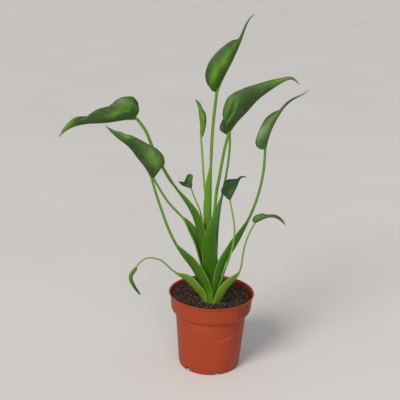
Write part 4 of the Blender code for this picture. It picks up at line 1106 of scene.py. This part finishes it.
def fibre(rng, x, y):
    """A short bent fibre that lies on the compost, a thin tapered tube: points, faces and shade."""
    step = rng.uniform(*FIBRE_LENGTHS) / FIBRE_STEPS
    thick = rng.uniform(*FIBRE_RADII)
    way = rng.uniform(0, 2 * math.pi)
    bend = rng.normal(0, FIBRE_BEND)
    points = []
    for k in range(FIBRE_STEPS):
        turn = way + bend * k
        x, y = x + step * math.cos(turn), y + step * math.sin(turn)
        middle = np.array([x, y, on_soil(x, y) + 0.5 + thick])
        across = np.array([-math.sin(turn), math.cos(turn), 0])
        radius = thick * math.sin(math.pi * (k + 0.6) / (FIBRE_STEPS + 0.2))
        for corner in (0.0, 2.1, 4.2):
            points.append(middle + radius * (across * math.cos(corner) + UP * math.sin(corner)))
    faces = []
    for a, b, c, d in grid_faces(FIBRE_STEPS, 3, closed=True):
        faces += [(a, b, c), (a, c, d)]
    last = 3 * FIBRE_STEPS
    faces += [(2, 1, 0), (last - 3, last - 2, last - 1)]
    return np.array(points), np.array(faces), rng.uniform(0.84, 1.0)


def crumb_piece(finish):
    """Loose crumbs and fibres on the compost, thickest round the foot of the stalks."""
    rng = np.random.default_rng(11)
    forms = crumb_form(1), crumb_form(2)
    bits = []
    for i in range(CRUMBS):
        turn = rng.uniform(0, 2 * math.pi)
        if i % CROWN_CRUMBS == 0:
            reach = CROWN_RADIUS + rng.exponential(2.2)
            x, y = CROWN[0] + reach * math.cos(turn), CROWN[1] + reach * math.sin(turn)
        else:
            reach = CRUMB_REACH * math.sqrt(rng.uniform(0, 1))
            x, y = reach * math.cos(turn), reach * math.sin(turn)
        if math.hypot(x, y) < CRUMB_REACH + 0.2 and from_crown(x, y) > CROWN_RADIUS - 0.6:
            bits.append(crumb(rng, x, y, forms))
    for _ in range(FIBRES):
        turn = rng.uniform(0, 2 * math.pi)
        reach = FIBRE_REACH * math.sqrt(rng.uniform(0, 1))
        x, y = reach * math.cos(turn), reach * math.sin(turn)
        if from_crown(x, y) > CROWN_RADIUS + 2:
            bits.append(fibre(rng, x, y))
    points, faces, shades = zip(*bits)
    counts = [len(made) for made in points]
    starts = np.cumsum([0] + counts[:-1])
    faces = np.concatenate([made + start for made, start in zip(faces, starts)])
    mesh = new_mesh("compost_crumbs", np.concatenate(points), faces.tolist())
    dress(new_piece(mesh, finish, shade=np.repeat(shades, counts)), None)


def set_camera():
    """The view: from above the plant's middle, looking down at the pot."""
    pitch, roll = math.radians(CAMERA_PITCH), math.radians(CAMERA_ROLL)
    ahead = Vector((0, math.cos(pitch), -math.sin(pitch)))
    level, upright = Vector((1, 0, 0)), Vector((0, math.sin(pitch), math.cos(pitch)))
    right = math.cos(roll) * level + math.sin(roll) * upright
    top = math.cos(roll) * upright - math.sin(roll) * level
    camera = bpy.data.objects.new("camera", bpy.data.cameras.new("camera"))
    camera.data.lens = CAMERA_LENS
    camera.data.sensor_width = SENSOR_WIDTH
    camera.data.clip_start = 0.01
    turned = Matrix((right, top, -ahead)).transposed().to_4x4()
    camera.matrix_world = Matrix.Translation(CAMERA_PLACE) @ turned
    bpy.context.scene.collection.objects.link(camera)
    bpy.context.scene.camera = camera


def new_light(name, kind, strength, place, target):
    """A light that stands at a place and points at a target."""
    made = bpy.data.objects.new(name, bpy.data.lights.new(name, kind))
    made.data.energy = strength
    made.location = place
    made.rotation_mode = "QUATERNION"
    made.rotation_quaternion = (Vector(target) - Vector(place)).to_track_quat("-Z", "Y")
    bpy.context.scene.collection.objects.link(made)
    return made.data


def set_studio():
    """A pale floor, a large soft light from the upper left, and a weak one from the front."""
    corners = np.array([(-1, -1, 0), (1, -1, 0), (1, 1, 0), (-1, 1, 0)])
    mesh = new_mesh("floor", corners * FLOOR_REACH, [(0, 1, 2, 3)])
    new_piece(mesh, floor_finish())
    world = bpy.data.worlds.new("studio")
    world.use_nodes = True
    sky = world.node_tree.nodes["Background"].inputs
    sky["Color"].default_value = SKY_COLOUR
    sky["Strength"].default_value = SKY_STRENGTH
    bpy.context.scene.world = world
    bpy.context.scene.view_settings.view_transform = "Standard"
    window = new_light("window", "SUN", WINDOW_STRENGTH, WINDOW_PLACE, (0, 0, 0))
    window.angle = math.radians(WINDOW_SPREAD)
    window.color = WINDOW_COLOUR
    new_light("bounce", "AREA", BOUNCE_STRENGTH, BOUNCE_PLACE, BOUNCE_TARGET).size = BOUNCE_SIZE


def main():
    """Builds every piece in its finish, and then the floor, the light and the camera."""
    groups = {"clouds": cloudy_group(), "veins": vein_group(), "ridges": ridge_group()}
    blades, stalks = {}, {}
    for name, tints in BLADE_TINTS.items():
        blades[name] = blade_finish(name + "_leaf_skin", groups, *tints)
    for name, tints in STALK_TINTS.items():
        stalks[name] = stalk_finish(name + "_stalk_skin", groups, *tints)
    for seed, shape in enumerate(LEAVES):
        blade_tint, stalk_tint = shape["tints"]
        blade_piece(shape, seed, blades[blade_tint])
        stalk_piece(shape, stalks[stalk_tint])
    pot_piece(pot_finish(groups))
    soil_piece(compost_finish("moist_compost", groups, *COMPOST_TINTS))
    crumb_piece(compost_finish("compost_crumb", groups, *CRUMB_TINTS))
    set_studio()
    set_camera()


main()
